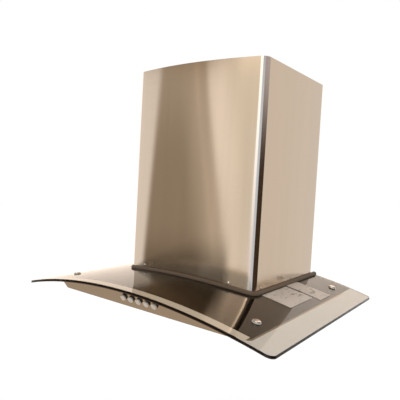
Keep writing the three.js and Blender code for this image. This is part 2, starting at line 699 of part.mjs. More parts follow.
/** Strip on the wall with an ear at each end that comes forward to the chimney's flange. */
function wallBracket() {
  const t = BRACKET_THICK;
  const earIn = CHIMNEY_HALF - CHIMNEY_FLANGE - BRACKET_EAR_IN;
  const earOut = CHIMNEY_HALF - BRACKET_EAR_OUT;
  const z0 = BRACKET_Z;
  const z1 = BRACKET_Z + BRACKET_HEIGHT;
  const strip = block(-earIn - t, earIn + t, -t, 0, z0, z1);
  const ears = [-1, 1].flatMap((side) => {
    const [a, b] = side > 0 ? [earIn, earOut] : [-earOut, -earIn];
    const [c, d] = side > 0 ? [earIn, earIn + t] : [-earIn - t, -earIn];
    return [block(a, b, BRACKET_FACE_Y, BRACKET_FACE_Y + t, z0, z1), block(c, d, BRACKET_FACE_Y, 0, z0, z1)];
  });
  const wallHole = disc(BRACKET_HOLE_R, -PAST, PAST, 12).rotate([90, 0, 0]);
  const wallHoles = [-0.5, 0.5].map((share) =>
    wallHole.translate([share * BRACKET_HOLE_SPACING, 0, BRACKET_SCREW_Z]));
  return without(union([strip, ...ears]), [...bracketScrewHoles(), ...wallHoles]);
}

// ---------------------------------------------------------------- blower

const OUTLET_FRONT_Y = -FAN_Y - scrollRadius(-180);
const OUTLET_Y = OUTLET_FRONT_Y + OUTLET_DEPTH / 2;

/** Radius of the scroll at an angle: it grows from the tongue, over the rear and below, to the front. */
function scrollRadius(angle) {
  return IMPELLER_R + SCROLL_GAP + SCROLL_GROWTH * (SCROLL_START - angle);
}

/** Outline of the scroll and its neck, in Y and Z, moved in by an inset. */
function scrollOutline(inset, top) {
  const shape = new THREE.Shape();
  const rear = OUTLET_FRONT_Y + OUTLET_DEPTH - inset;
  shape.moveTo(OUTLET_FRONT_Y + inset, top);
  shape.lineTo(OUTLET_FRONT_Y + inset, FAN_Z);
  for (let angle = SCROLL_STEP - 180; angle <= SCROLL_START - SCROLL_STEP; angle += SCROLL_STEP) {
    const r = scrollRadius(angle) - inset;
    const a = (angle * Math.PI) / 180;
    shape.lineTo(-FAN_Y + r * Math.cos(a), FAN_Z + r * Math.sin(a));
  }
  shape.lineTo(rear, FAN_Z + scrollRadius(SCROLL_START) - inset);
  shape.lineTo(rear, top);
  return shape;
}

const SCROLL_TOP = BOX_TOP - SHEET - FIT;

function blowerBox() {
  const half = BOX_WIDTH / 2;
  const outer = block(-half, half, -BOX_DEPTH, 0, -FAR, BOX_TOP);
  const inner = block(-half + SHEET, half - SHEET, -BOX_DEPTH + SHEET, -SHEET, -FAR - PAST, BOX_TOP - SHEET);
  const neck = SCROLL_WIDTH / 2 - SHEET;
  const neckRear = OUTLET_FRONT_Y + OUTLET_DEPTH - SHEET;
  const outlet = block(-neck, neck, OUTLET_FRONT_Y + SHEET, neckRear, BOX_TOP - PAST, BOX_TOP + PAST);
  return without(outer, [inner, outlet, ...hangingSlots()]).intersect(upperBand(PLATE_TOP + FIT));
}

/** Keyhole slots in the back of the blower box: a round hole with a narrow slot above it. */
function hangingSlots() {
  return [-1, 1].map((side) => {
    const x = (side * SLOT_SPACING) / 2;
    const low = HANG_HEIGHT - SLOT_LENGTH;
    const hole = disc(SLOT_R, -PAST, PAST, 16).rotate([90, 0, 0]).translate([x, 0, low]);
    return hole.add(block(x - SLOT_NECK, x + SLOT_NECK, -PAST, PAST, low, HANG_HEIGHT));
  });
}

function fanScroll() {
  const half = SCROLL_WIDTH / 2;
  const outer = prismAlongX(scrollOutline(0, SCROLL_TOP), -half, half);
  const inner = prismAlongX(scrollOutline(SHEET, SCROLL_TOP + PAST), -half + SHEET, half - SHEET);
  const inlets = disc(SCROLL_INLET_R, -half - PAST, half + PAST).rotate([0, 90, 0]);
  return without(outer, [inner, inlets.translate([0, -FAN_Y, FAN_Z])]);
}

/** Forward curved blades on a middle disc, tied by a ring at each end. */
function impeller() {
  const half = IMPELLER_LENGTH / 2;
  const inside = IMPELLER_R - BLADE_DEPTH;
  const edge = IMPELLER_R - BLADE_EDGE;
  const line = [[inside, 0], [(inside + edge) / 2, BLADE_SWEEP * 0.3], [edge, BLADE_SWEEP]];
  const at = (shift) => ([r, angle]) => {
    const a = angle + shift / r;
    return new THREE.Vector2(r * Math.cos(a), r * Math.sin(a));
  };
  const section = new THREE.Shape([...line.map(at(0)), ...line.map(at(BLADE_THICK)).reverse()]);
  const blade = prism(section, -half + RING_THICK / 2, half - RING_THICK / 2);
  const blades = Array.from({ length: BLADE_COUNT }, (_, i) => blade.rotate([0, 0, (360 / BLADE_COUNT) * i]));
  const rings = [-half, half - RING_THICK].map((z) => ring(inside - JOIN, IMPELLER_R, z, z + RING_THICK, 24));
  const middle = disc(IMPELLER_R, -DISC_THICK / 2, DISC_THICK / 2, 24);
  const hub = disc(HUB_R, -HUB_LENGTH / 2, HUB_LENGTH / 2, 12);
  const wheel = union([middle, hub, ...rings, ...blades]).subtract(disc(SHAFT_R + FIT, -half, half, 12));
  return wheel.rotate([0, 90, 0]).translate([0, -FAN_Y, FAN_Z]);
}

const MOTOR_FACE_X = -SCROLL_WIDTH / 2 - MOTOR_GAP;

const motorShaft = () =>
  disc(SHAFT_R, MOTOR_FACE_X - SHAFT_ENTRY, HUB_LENGTH / 2 + SHAFT_END, 12)
    .rotate([0, 90, 0]).translate([0, -FAN_Y, FAN_Z]);

/** Ribbed can with a bore that the shaft's end turns in. */
function fanMotor() {
  const back = -MOTOR_LENGTH;
  const can = turned([
    [0, back], [MOTOR_FACE_R, back], [MOTOR_NECK_R, back + MOTOR_EDGE],
    [MOTOR_NECK_R, back + MOTOR_NECK], [MOTOR_R, back + MOTOR_NECK + JOIN],
    [MOTOR_R, -MOTOR_NECK - JOIN], [MOTOR_NECK_R, -MOTOR_NECK],
    [MOTOR_NECK_R, -MOTOR_EDGE], [MOTOR_FACE_R, 0], [0, 0],
  ], 18);
  const bore = disc(SHAFT_R + FIT, -SHAFT_ENTRY - FIT, PAST, 12);
  return can.subtract(bore).rotate([0, 90, 0]).translate([MOTOR_FACE_X, -FAN_Y, FAN_Z]);
}

/** Ring round the motor with arms that reach out past the inlet to the scroll's side. */
function motorBracket() {
  const bandIn = MOTOR_R + FIT;
  const band = ring(bandIn, bandIn + BAND_THICK, -BAND_BACK - BAND_WIDTH, -BAND_BACK, 18);
  const reach = SCROLL_INLET_R + ARM_CLEAR;
  const side = ARM_WIDTH / 2;
  const far = MOTOR_GAP - FIT; // the pads' face, just short of the scroll
  const arms = Array.from({ length: ARM_COUNT }, (_, i) => {
    const arm = block(bandIn + JOIN, reach, -side, side, -ARM_BACK, -ARM_BACK + BAND_THICK);
    const leg = block(reach - BAND_THICK, reach, -side, side, -ARM_BACK, far);
    const pad = block(reach - BAND_THICK, reach + PAD_LENGTH, -side, side, far - PAD_THICK, far);
    return union([arm, leg, pad]).rotate([0, 0, (360 / ARM_COUNT) * i + ARM_TURN]);
  });
  return union([band, ...arms]).rotate([0, 90, 0]).translate([MOTOR_FACE_X, -FAN_Y, FAN_Z]);
}

// ---------------------------------------------------------------- outlet

const FLANGE_TOP = BOX_TOP + FIT + COLLAR_FLANGE_THICK;
const FLAP_AXIS_Z = FLANGE_TOP + FLAP_RISE;

function outletCollar() {
  const half = COLLAR_FLANGE / 2;
  const low = BOX_TOP + FIT;
  const high = FLANGE_TOP + COLLAR_HEIGHT;
  const inner = COLLAR_R - COLLAR_WALL;
  const plate = prism(rectangle(-half, half, -half, half, COLLAR_FLANGE_CORNER), low, FLANGE_TOP);
  const tube = disc(COLLAR_R, low, high);
  const bore = disc(inner, low - PAST, high + PAST);
  const ledgeTop = FLAP_AXIS_Z - FLAP_THICK / 2 - FIT;
  const ledge = ring(inner - LEDGE_WIDTH, inner + COLLAR_WALL / 2, ledgeTop - LEDGE_THICK, ledgeTop);
  const pinHole = disc(PIN_R + FIT, -COLLAR_R - PAST, COLLAR_R + PAST, 12)
    .rotate([0, 90, 0]).translate([0, 0, FLAP_AXIS_Z]);
  return plate.add(tube).subtract(bore).add(ledge).subtract(pinHole).translate([0, OUTLET_Y, 0]);
}

const damperPin = () =>
  disc(PIN_R, -COLLAR_R + FIT, COLLAR_R - FIT, 10).rotate([0, 90, 0]).translate([0, OUTLET_Y, FLAP_AXIS_Z]);

/** Half disc with two knuckles on the pin. Side -1 is the front flap, +1 the rear one. */
function damperFlap(side) {
  const r = COLLAR_R - COLLAR_WALL - FLAP_GAP;
  const z0 = FLAP_AXIS_Z - FLAP_THICK / 2;
  const z1 = z0 + FLAP_THICK;
  const acrossFrom = (x0, x1, a, b, low, high) =>
    block(x0, x1, Math.min(side * a, side * b), Math.max(side * a, side * b), low, high);
  const leaf = disc(r, z0, z1).intersect(acrossFrom(-r, r, FLAP_ROOT, r, z0 - PAST, z1 + PAST));
  const pitch = KNUCKLE_LENGTH + KNUCKLE_GAP;
  const first = (side < 0 ? -2 : -1) * pitch + KNUCKLE_GAP / 2;
  const knuckles = [first, first + 2 * pitch].flatMap((x) => {
    const end = x + KNUCKLE_LENGTH;
    return [
      ring(KNUCKLE_BORE, KNUCKLE_R, x, end, 8).rotate([0, 90, 0]).translate([0, 0, FLAP_AXIS_Z]),
      acrossFrom(x, end, (KNUCKLE_BORE + KNUCKLE_R) / 2, FLAP_ROOT + JOIN, z0, z1),
    ];
  });
  return union([leaf, ...knuckles]).translate([0, OUTLET_Y, 0]);
}

// ---------------------------------------------------------------- electrics

function junctionBox() {
  const [w, d, h] = JUNCTION_SIZE;
  const low = BOX_TOP + FIT;
  const high = low + h;
  const box = (out) => rectangle(-w / 2 - out, w / 2 + out, -d / 2 - out, d / 2 + out);
  const shell = prism(rectangle(-w / 2, w / 2, -d / 2, d / 2, JUNCTION_CORNER), low, high, 4);
  const groove = prism(box(PAST), high - LID_HEIGHT - LID_GROOVE, high - LID_HEIGHT)
    .subtract(prism(box(-LID_GROOVE), low, high));
  return shell.subtract(groove).translate([JUNCTION_PLACE[0], -JUNCTION_PLACE[1], 0]);
}

function runCapacitor() {
  const half = CAPACITOR_LENGTH / 2;
  const rim = CAPACITOR_RIM;
  const [x, y] = CAPACITOR_PLACE;
  return turned([
    [0, -half], [CAPACITOR_R - rim / 2, -half], [CAPACITOR_R, -half + rim / 2],
    [CAPACITOR_R, half - 2 * rim], [CAPACITOR_R - rim, half - rim],
    [CAPACITOR_STUD_R, half - rim], [CAPACITOR_STUD_R, half], [0, half],
  ], 16).rotate([0, 90, 0]).translate([x, -y, BOX_TOP + FIT + CAPACITOR_R]);
}

function cableGland() {
  const nut = disc(GLAND_R, 0, GLAND_NUT, 6);
  const cap = turned([
    [0, GLAND_NUT - JOIN], [GLAND_R * 0.8, GLAND_NUT - JOIN], [GLAND_R * 0.8, GLAND_NECK],
    [GLAND_R * 0.55, GLAND_HEIGHT], [0, GLAND_HEIGHT],
  ], 18);
  const bore = disc(GLAND_BORE_R, GLAND_NUT / 2, GLAND_HEIGHT + PAST, 14);
  const z = BOX_TOP + 2 * FIT + JUNCTION_SIZE[2];
  return nut.add(cap).subtract(bore).translate([JUNCTION_PLACE[0], -JUNCTION_PLACE[1], z]);
}

// ---------------------------------------------------------------- controls

const INSIDE = -SHEET - FIT; // back of the casing's face, along a button's axis

/** Switch block behind the face, with a bore for each button. */
function switchBlock() {
  const reach = (BUTTON_PITCH * BUTTON_COUNT) / 2 + SWITCH_END;
  const body = block(-reach, reach, -SWITCH_HEIGHT / 2, SWITCH_HEIGHT / 2, INSIDE - SWITCH_DEPTH, INSIDE);
  const bottom = BUTTON_PROUD - BUTTON_LENGTH - BUTTON_TRAVEL - FIT;
  const bores = BUTTON_XS.map((x) => disc(BUTTON_R + FIT, bottom, PAST, 14).translate([x, 0, 0]));
  return onFace(without(body, bores), 0);
}

/** Round push button with a dished face and a soft rim. */
const pushButton = (x) => onFace(turned([
  [0, BUTTON_PROUD - BUTTON_LENGTH], [BUTTON_R, BUTTON_PROUD - BUTTON_LENGTH],
  [BUTTON_R, BUTTON_PROUD - BUTTON_RIM], [BUTTON_R - BUTTON_RIM, BUTTON_PROUD],
  [BUTTON_R - 2 * BUTTON_RIM, BUTTON_PROUD], [BUTTON_R - 3 * BUTTON_RIM, BUTTON_PROUD - BUTTON_DISH * 0.7],
  [0, BUTTON_PROUD - BUTTON_DISH],
], 14), x);

// ---------------------------------------------------------------- lamps

const LENS_LOW = SHEET + FIT;
const LAMP_HEIGHT = glassTop(LAMP_X + LAMP_TUBE_R) + PLATE_BOTTOM - LAMP_CLEAR;
const TUBE_TOP = LAMP_HEIGHT / 2;

function lampBezel(side) {
  const flange = ring(LAMP_LIP_R, LAMP_R, 0, SHEET, 20);
  const tube = ring(LAMP_LENS_R + FIT, LAMP_TUBE_R, SHEET / 2, TUBE_TOP, 20);
  return flange.add(tube).translate([side * LAMP_X, -LAMP_Y, 0]);
}

const lampLens = (side) => turned([
  [0, LENS_LOW - LENS_BOSS], [LENS_BOSS_R, LENS_LOW - LENS_BOSS], [LENS_BOSS_R, LENS_LOW],
  [LAMP_LENS_R, LENS_LOW], [LAMP_LENS_R, LENS_LOW + LENS_THICK], [0, LENS_LOW + LENS_THICK],
], 20).translate([side * LAMP_X, -LAMP_Y, 0]);

function lampHousing(side) {
  const low = TUBE_TOP + FIT;
  const cup = disc(LAMP_TUBE_R, low, LAMP_HEIGHT, 20)
    .subtract(disc(LAMP_TUBE_R - SHEET, low - PAST, LAMP_HEIGHT - SHEET, 20));
  return cup.translate([side * LAMP_X, -LAMP_Y, 0]);
}

// ---------------------------------------------------------------- filters

const FILTER_LOW = PANEL_LOW;
const FILTER_HIGH = FILTER_LOW + FILTER_THICK;
const ROD_Z = FILTER_LOW + FILTER_THICK / 2;

/** Frame with a lip below, and two hooks at the back that lie over the rod. */
function filterFrame(side) {
  const half = FILTER_WIDTH / 2;
  const rear = -FILTER_REAR_Y;
  const within = (inset, low, high) =>
    block(-half + inset, half - inset, FILTER_FRONT_Y + inset, rear - inset, low, high);
  const frame = without(within(0, FILTER_LOW, FILTER_HIGH), [
    within(FILTER_BAR, FILTER_LOW - PAST, FILTER_HIGH + PAST),
    within(FILTER_BAR - FILTER_LIP, FILTER_LOW + SHEET, FILTER_HIGH - SHEET),
  ]);
  const hooks = [-1, 1].map((end) => {
    const x0 = (end * HOOK_SPACING - HOOK_WIDTH) / 2;
    const x1 = x0 + HOOK_WIDTH;
    const eye = disc(HOOK_R, x0, x1, 18).rotate([0, 90, 0]).translate([0, -ROD_Y, ROD_Z]);
    return eye.add(block(x0, x1, rear - JOIN, -ROD_Y, ROD_Z, ROD_Z + HOOK_R * 0.9));
  });
  const rodWay = disc(ROD_R + ROD_CLEAR, -half, half, 18).rotate([0, 90, 0]).translate([0, -ROD_Y, ROD_Z]);
  const stemHole = disc(KNOB_STEM_R + FIT, -PAST, KNOB_STEM_LENGTH + FIT, 16)
    .translate([0, FILTER_FRONT_Y + KNOB_INSET, FILTER_LOW]);
  return without(union([frame, ...hooks]), [rodWay, stemHole]).translate([side * FILTER_CENTRE_X, 0, 0]);
}

/** Expanded metal face: staggered diamond gaps in a thin slab that lies on the frame's lip. */
function filterMesh(side) {
  const seat = FILTER_BAR - FILTER_LIP + FIT;
  const half = FILTER_WIDTH / 2 - seat;
  const y0 = FILTER_FRONT_Y + seat;
  const y1 = -FILTER_REAR_Y - seat;
  const net = rectangle(-half, half, y0, y1);
  const pitchX = (2 * (half - FILTER_LIP)) / MESH_COLUMNS;
  const pitchY = (y1 - y0 - 2 * FILTER_LIP) / MESH_ROWS;
  for (let i = 1; i < 2 * MESH_COLUMNS; i += 1) {
    for (let j = 1; j < 2 * MESH_ROWS; j += 1) {
      if ((i + j) % 2) continue;
      const x = -half + FILTER_LIP + (pitchX * i) / 2;
      const y = y0 + FILTER_LIP + (pitchY * j) / 2;
      net.holes.push(diamond(x, y, (pitchX - MESH_STRAND) / 2, (pitchY - MESH_STRAND) / 2));
    }
  }
  const low = FILTER_LOW + SHEET + FIT;
  return prism(net, low, low + MESH_THICK).translate([side * FILTER_CENTRE_X, 0, 0]);
}

/** A diamond gap of half widths a and b, drawn clockwise. */
function diamond(x, y, a, b) {
  const path = new THREE.Path();
  path.moveTo(x + a, y).lineTo(x, y - b).lineTo(x - a, y).lineTo(x, y + b);
  return path;
}

const filterKnob = (side) => turned([
  [0, -KNOB_HEIGHT], [KNOB_R - KNOB_EDGE, -KNOB_HEIGHT], [KNOB_R, -KNOB_HEIGHT + KNOB_EDGE],
  [KNOB_R, -KNOB_HEIGHT + KNOB_RIM], [KNOB_COLLAR_R, -KNOB_RIM], [KNOB_COLLAR_R, -FIT],
  [KNOB_STEM_R, -FIT], [KNOB_STEM_R, KNOB_STEM_LENGTH], [0, KNOB_STEM_LENGTH],
], 14).translate([side * FILTER_CENTRE_X, FILTER_FRONT_Y + KNOB_INSET, FILTER_LOW]);

/** Steel rod behind each opening that the filter's hooks turn on, with a foot at each end. */
function filterRod(side) {
  const inner = FILTER_WIDTH / 2 + FILTER_PLAY;
  const outer = inner + ROD_FOOT_WIDTH;
  const rod = disc(ROD_R, -outer, outer, 14).rotate([0, 90, 0]).translate([0, -ROD_Y, ROD_Z]);
  const front = -ROD_Y - ROD_FOOT_DEPTH / 2;
  const feet = [[-outer, -inner], [inner, outer]].map(([x0, x1]) =>
    block(x0, x1, front, front + ROD_FOOT_DEPTH, PANEL_HIGH + FIT, ROD_Z + ROD_R + JOIN));
  return union([rod, ...feet]).translate([side * FILTER_CENTRE_X, 0, 0]);
}

/** Outline of a strip of even thickness along a line of [y, z] points. */
function strip(line, thickness) {
  const at = (i) => new THREE.Vector2(...line[i]);
  const side = (sign) => line.map((_, i) => {
    const before = i > 0 ? at(i).sub(at(i - 1)).normalize() : null;
    const after = i + 1 < line.length ? at(i + 1).sub(at(i)).normalize() : null;
    const way = (before ?? after).clone().add(after ?? before).normalize();
    const across = new THREE.Vector2(-way.y, way.x);
    const mitre = 1 / Math.max(0.5, way.dot(after ?? before));
    return at(i).addScaledVector(across, (sign * mitre * thickness) / 2);
  });
  return new THREE.Shape([...side(-1), ...side(1).reverse()]);
}

/** Leaf spring screwed to the panel before each filter. Its nose lies under the filter's front bar. */
function filterCatch(side) {
  const half = CATCH_THICK / 2;
  const foot = PANEL_HIGH + FIT + half;
  const down = FILTER_FRONT_Y - FIT - half;
  const top = FILTER_HIGH + CATCH_RISE;
  const nose = FILTER_LOW - FIT - half;
  const shape = strip([
    [down - CATCH_BEND - CATCH_FOOT, foot], [down - CATCH_BEND, foot],
    [down - 0.7 * CATCH_BEND, top - 2 * CATCH_RISE], [down - 0.4 * CATCH_BEND, top],
    [down - 0.1 * CATCH_BEND, top - 1.2 * CATCH_RISE], [down, top - 4 * CATCH_RISE],
    [down, nose], [down + CATCH_NOSE, nose - 0.35 * CATCH_NOSE],
    [down + 0.23 * CATCH_NOSE, nose - 0.85 * CATCH_NOSE],
  ], CATCH_THICK);
  const x = side * (FILTER_CENTRE_X - CATCH_INSET);
  return prismAlongX(shape, x - CATCH_WIDTH / 2, x + CATCH_WIDTH / 2);
}

// ---------------------------------------------------------------- assembly

const hood = new THREE.Group();
hood.position.z = -HANG_HEIGHT;

function place(name, solid, material) {
  const mesh = new THREE.Mesh(geometryOf(solid), MATERIALS[material]);
  mesh.name = name;
  hood.add(mesh);
}

place('glass_canopy', glassCanopy(), 'smokedGlass');
place('top_plate', topPlate(), 'blackSteel');
for (const [where, x, y] of GLASS_SCREWS) {
  place(`glass_screw_${where}`, onGlass(glassScrew(), x, y), 'chrome');
  place(`glass_washer_${where}`, onGlass(glassWasher(), x, y), 'nylon');
}

place('hood_casing', hoodCasing(), 'brushed');
place('underside_panel', undersidePanel(), 'brushed');

place('chimney_cover', chimneyCover(), 'brushed');
place('base_trim', baseTrim(), 'trim');
place('chimney_base_frame', chimneyBaseFrame(), 'galvanised');
for (const spot of CHIMNEY_SCREWS) {
  const height = glassTop(spot.x) + SCREW_RISE;
  place(`chimney_screw_${spot.name}`, alongNormal(smallScrew(), spot, height), 'chrome');
}
place('chimney_wall_bracket', wallBracket(), 'galvanised');
for (const spot of BRACKET_SCREWS) {
  place(`bracket_screw_${spot.name}`, alongNormal(smallScrew(), spot, BRACKET_SCREW_Z), 'chrome');
}

place('blower_box', blowerBox(), 'galvanised');
place('fan_scroll', fanScroll(), 'galvanised');
place('impeller', impeller(), 'aluminium');
place('motor_shaft', motorShaft(), 'springSteel');
place('fan_motor', fanMotor(), 'galvanised');
place('motor_bracket', motorBracket(), 'springSteel');

place('outlet_collar', outletCollar(), 'greyPlastic');
place('damper_pin', damperPin(), 'springSteel');
place('damper_flap_front', damperFlap(-1), 'blackPlastic');
place('damper_flap_rear', damperFlap(1), 'blackPlastic');

place('junction_box', junctionBox(), 'blackPlastic');
place('run_capacitor', runCapacitor(), 'nylon');
place('cable_gland', cableGland(), 'blackPlastic');

place('switch_block', switchBlock(), 'blackPlastic');
BUTTON_XS.forEach((x, i) => place(`button_${i + 1}`, pushButton(x), 'chrome'));

for (const [name, side] of [['left', -1], ['right', 1]]) {
  place(`lamp_bezel_${name}`, lampBezel(side), 'chrome');
  place(`lamp_lens_${name}`, lampLens(side), 'lens');
  place(`lamp_housing_${name}`, lampHousing(side), 'galvanised');
  place(`filter_frame_${name}`, filterFrame(side), 'aluminium');
  place(`filter_mesh_${name}`, filterMesh(side), 'aluminium');
  place(`filter_knob_${name}`, filterKnob(side), 'blackPlastic');
  place(`filter_rod_${name}`, filterRod(side), 'springSteel');
  place(`filter_catch_${name}`, filterCatch(side), 'springSteel');
}

export default hood;
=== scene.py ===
"""Looks of a curved glass range hood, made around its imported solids.

Everything is in metres: +X to the right of someone facing the hood, +Y into the wall, +Z up, and the
origin on the wall between the two hanging slots.
"""

import json
import math

import bmesh
import bpy
from mathutils import Matrix, Vector
from mathutils.geometry import delaunay_2d_cdt


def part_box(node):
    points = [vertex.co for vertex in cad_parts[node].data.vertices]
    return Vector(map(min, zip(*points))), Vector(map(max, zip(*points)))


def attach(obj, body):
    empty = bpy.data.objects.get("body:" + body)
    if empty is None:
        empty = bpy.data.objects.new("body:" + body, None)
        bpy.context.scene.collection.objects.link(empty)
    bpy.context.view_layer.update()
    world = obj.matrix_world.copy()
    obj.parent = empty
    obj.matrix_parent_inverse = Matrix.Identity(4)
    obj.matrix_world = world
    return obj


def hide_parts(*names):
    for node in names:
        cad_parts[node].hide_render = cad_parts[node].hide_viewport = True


bl_info = {
    "name": "Curved Glass Range Hood",
    "version": (1, 0, 0),
    "blender": (4, 5, 0),
    "location": "View3D > Sidebar > Range Hood",
    "description": "Makes the looks of a curved glass range hood around its packed solids",
    "category": "Object",
}

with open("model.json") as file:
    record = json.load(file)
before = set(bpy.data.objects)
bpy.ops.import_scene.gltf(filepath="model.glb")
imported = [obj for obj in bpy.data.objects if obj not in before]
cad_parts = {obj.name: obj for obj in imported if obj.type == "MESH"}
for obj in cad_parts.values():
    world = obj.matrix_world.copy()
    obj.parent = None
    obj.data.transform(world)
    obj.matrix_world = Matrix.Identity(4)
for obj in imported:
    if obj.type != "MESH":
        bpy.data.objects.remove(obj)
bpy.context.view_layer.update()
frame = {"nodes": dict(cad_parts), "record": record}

GLASS_LOW, GLASS_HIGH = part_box("glass_canopy")
PLATE_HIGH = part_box("top_plate")[1]
COVER_LOW, COVER_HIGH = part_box("chimney_cover")
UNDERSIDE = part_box("hood_casing")[0].z

SCREW_CORNERS = ("front_left", "front_right", "rear_left", "rear_right")
DEGREES = 180 / math.pi
QUARTER = math.pi / 2
MERGE = 1e-6  # points closer than this become one
SHARP = 40.0  # degrees between two faces from which their edge is drawn sharp
FINISHED = {"FINISHED"}


# ------------------------------------------------------------------ settings

def size(name, description, default):
    """A length that a user can change."""
    return bpy.props.FloatProperty(name=name, description=description, default=default,
                                   unit="LENGTH", precision=4)


def tint(name, description, default):
    """A colour that a user can change, as linear values."""
    return bpy.props.FloatVectorProperty(name=name, description=description, default=default,
                                         subtype="COLOR", size=3, min=0, max=1)


class HoodSizes(bpy.types.PropertyGroup):
    """Sizes that the frame's boxes don't give."""

    glass_thickness: size("Glass thickness", "Thickness of the canopy's glass", 0.005)
    glass_bow: size("Glass bow", "How far the middle of the front edge stands before its ends", 0.0105)
    glass_corner: size("Glass corner", "Radius of the glass's front corners", 0.014)
    glass_rear_corner: size("Glass rear corner", "Radius of the glass's rear corners", 0.009)
    sheet: size("Sheet", "Thickness of the casing's and the chimney's steel", 0.0012)
    fit: size("Fit", "Gap between pieces that touch", 0.0003)
    chimney_bow: size("Chimney bow", "How far the chimney's front stands before its sides", 0.019)
    chimney_corner: size("Chimney corner", "Radius of the chimney's front corners", 0.017)
    chimney_flange: size("Chimney flange", "Width of the flange along each rear edge", 0.016)
    trim_width: size("Trim width", "Width of the base trim on the glass", 0.0055)
    trim_height: size("Trim height", "Height of the base trim above the glass", 0.0065)
    plate_notch_half: size("Plate notch half", "Half width of the plate's notch for the blower box", 0.132)
    plate_notch_depth: size("Plate notch depth", "How far the plate's notch reaches out from the wall", 0.254)
    casing_lean: bpy.props.FloatProperty(
        name="Casing lean", description="Outward lean of the casing's walls, per unit of height",
        default=0.5, min=0.0)
    casing_half: size("Casing half", "Half width of the casing at its foot", 0.235)
    casing_depth: size("Casing depth", "Depth of the casing at its foot", 0.4255)
    casing_corner: size("Casing corner", "Radius of the casing's upright corners", 0.008)
    button_rise: size("Button rise", "Height of the buttons on the casing's face above its foot", 0.0215)
    button_step: size("Button step", "Distance from one button to the next", 0.020)


class HoodColours(bpy.types.PropertyGroup):
    """Colours of the finishes."""

    steel: tint("Steel", "Colour of the brushed steel", (0.80, 0.625, 0.465))
    glass: tint("Glass", "Tint of the smoked glass", (0.50, 0.45, 0.385))
    plate: tint("Plate", "Colour of the enamelled plate under the glass", (0.020, 0.015, 0.010))
    trim: tint("Trim", "Colour of the chimney's base trim", (0.130, 0.086, 0.053))
    paper: tint("Label paper", "Colour of the bare labels on the glass", (0.60, 0.51, 0.43))


def sizes():
    return bpy.context.scene.hood_sizes


def colours():
    return bpy.context.scene.hood_colours


# ------------------------------------------------------------------ shader maths

def rgba(colour):
    return (*colour[:3], 1.0)


def shade(colour, by):
    """A colour made darker or lighter."""
    return tuple(part * by for part in colour[:3])


class Value:
    """A socket that Python's operators work on: an expression on values adds its Math nodes."""

    def __init__(self, tree, socket):
        self.tree = tree
        self.socket = socket

    def math(self, operation, first, second):
        return self.tree.add("ShaderNodeMath", {"operation": operation}, {0: first, 1: second})


for sign, operation in (("add", "ADD"), ("sub", "SUBTRACT"), ("mul", "MULTIPLY"), ("truediv", "DIVIDE")):
    setattr(Value, f"__{sign}__", lambda self, other, name=operation: self.math(name, self, other))
    setattr(Value, f"__r{sign}__", lambda self, other, name=operation: self.math(name, other, self))


class Tree:
    """A node tree, emptied."""

    def __init__(self, group):
        self.nodes = group.nodes
        self.links = group.links
        self.nodes.clear()

    def add(self, kind, settings=None, inputs=None, output=0):
        """Adds a node of any kind, its settings first, and gives back one of its outputs."""
        node = self.nodes.new(kind)
        for name, setting in (settings or {}).items():
            setattr(node, name, setting)
        for name, given in (inputs or {}).items():
            if isinstance(given, Value):
                self.links.new(given.socket, node.inputs[name])
            else:
                node.inputs[name].default_value = given
        return Value(self, node.outputs[output]) if node.outputs else None

    def parts(self, vector):
        """The three numbers of a vector."""
        first = self.add("ShaderNodeSeparateXYZ", None, {0: vector})
        return [Value(self, socket) for socket in first.socket.node.outputs]

    def mix(self, share, first, second):
        """Mixes two colours, each a value or three numbers."""
        first, second = (c if isinstance(c, Value) else rgba(c) for c in (first, second))
        return self.add("ShaderNodeMix", {"data_type": "RGBA"}, {0: share, 6: first, 7: second}, output=2)

    def step(self, value, low, high):
        """Smooth step from zero to one while a value goes from one number to another."""
        smooth = {"interpolation_type": "SMOOTHSTEP"}
        return self.add("ShaderNodeMapRange", smooth, {0: value, 1: low, 2: high})

    def place(self, scale=1, turn=(0, 0, 0)):
        """Object coordinates, turned and scaled, by one number or by one for each axis."""
        at = self.add("ShaderNodeTexCoord", output="Object")
        scale = scale if isinstance(scale, tuple) else (scale,) * 3
        return self.add("ShaderNodeMapping", None, {"Vector": at, "Rotation": turn, "Scale": scale})

    def noise(self, scale, detail=2.0, roughness=0.5, distortion=0.0, turn=(0, 0, 0)):
        return self.add("ShaderNodeTexNoise", None, {
            "Vector": self.place(scale, turn), "Scale": 1.0, "Detail": detail, "Roughness": roughness,
            "Distortion": distortion})

    def cells(self, scale, jitter, output):
        """Cells of a Voronoi pattern: their distances or their colours."""
        return self.add("ShaderNodeTexVoronoi", {"feature": "F1"}, {
            "Vector": self.place(scale), "Scale": 1.0, "Randomness": jitter}, output)

    def bump(self, height, strength, distance=0.0002, under=None):
        """Relief of a height, laid over another one where given."""
        inputs = {"Strength": strength, "Distance": distance, "Height": height}
        if under:
            inputs["Normal"] = under
        return self.add("ShaderNodeBump", None, inputs)

    def surface(self, colour, roughness, others=None):
        """The surface shader that every finish uses."""
        return self.add("ShaderNodeBsdfPrincipled", None, {
            "Base Color": colour, "Roughness": roughness, **(others or {})})


def finish_of(name, build):
    """The material of that name, built on its first use. The prefix keeps it apart from the frame's own."""
    name = "hood_" + name
    found = bpy.data.materials.get(name)
    if found is None:
        found = bpy.data.materials.new(name)
        found.use_nodes = True
        tree = Tree(found.node_tree)
        surface = build(tree)
        tree.add("ShaderNodeOutputMaterial", None, {"Surface": surface})
    return found


def as_finish(build):
    """Turns a function that builds a surface into one that gives the material of the function's name."""
    return lambda: finish_of(build.__name__, build)


# ------------------------------------------------------------------ finishes

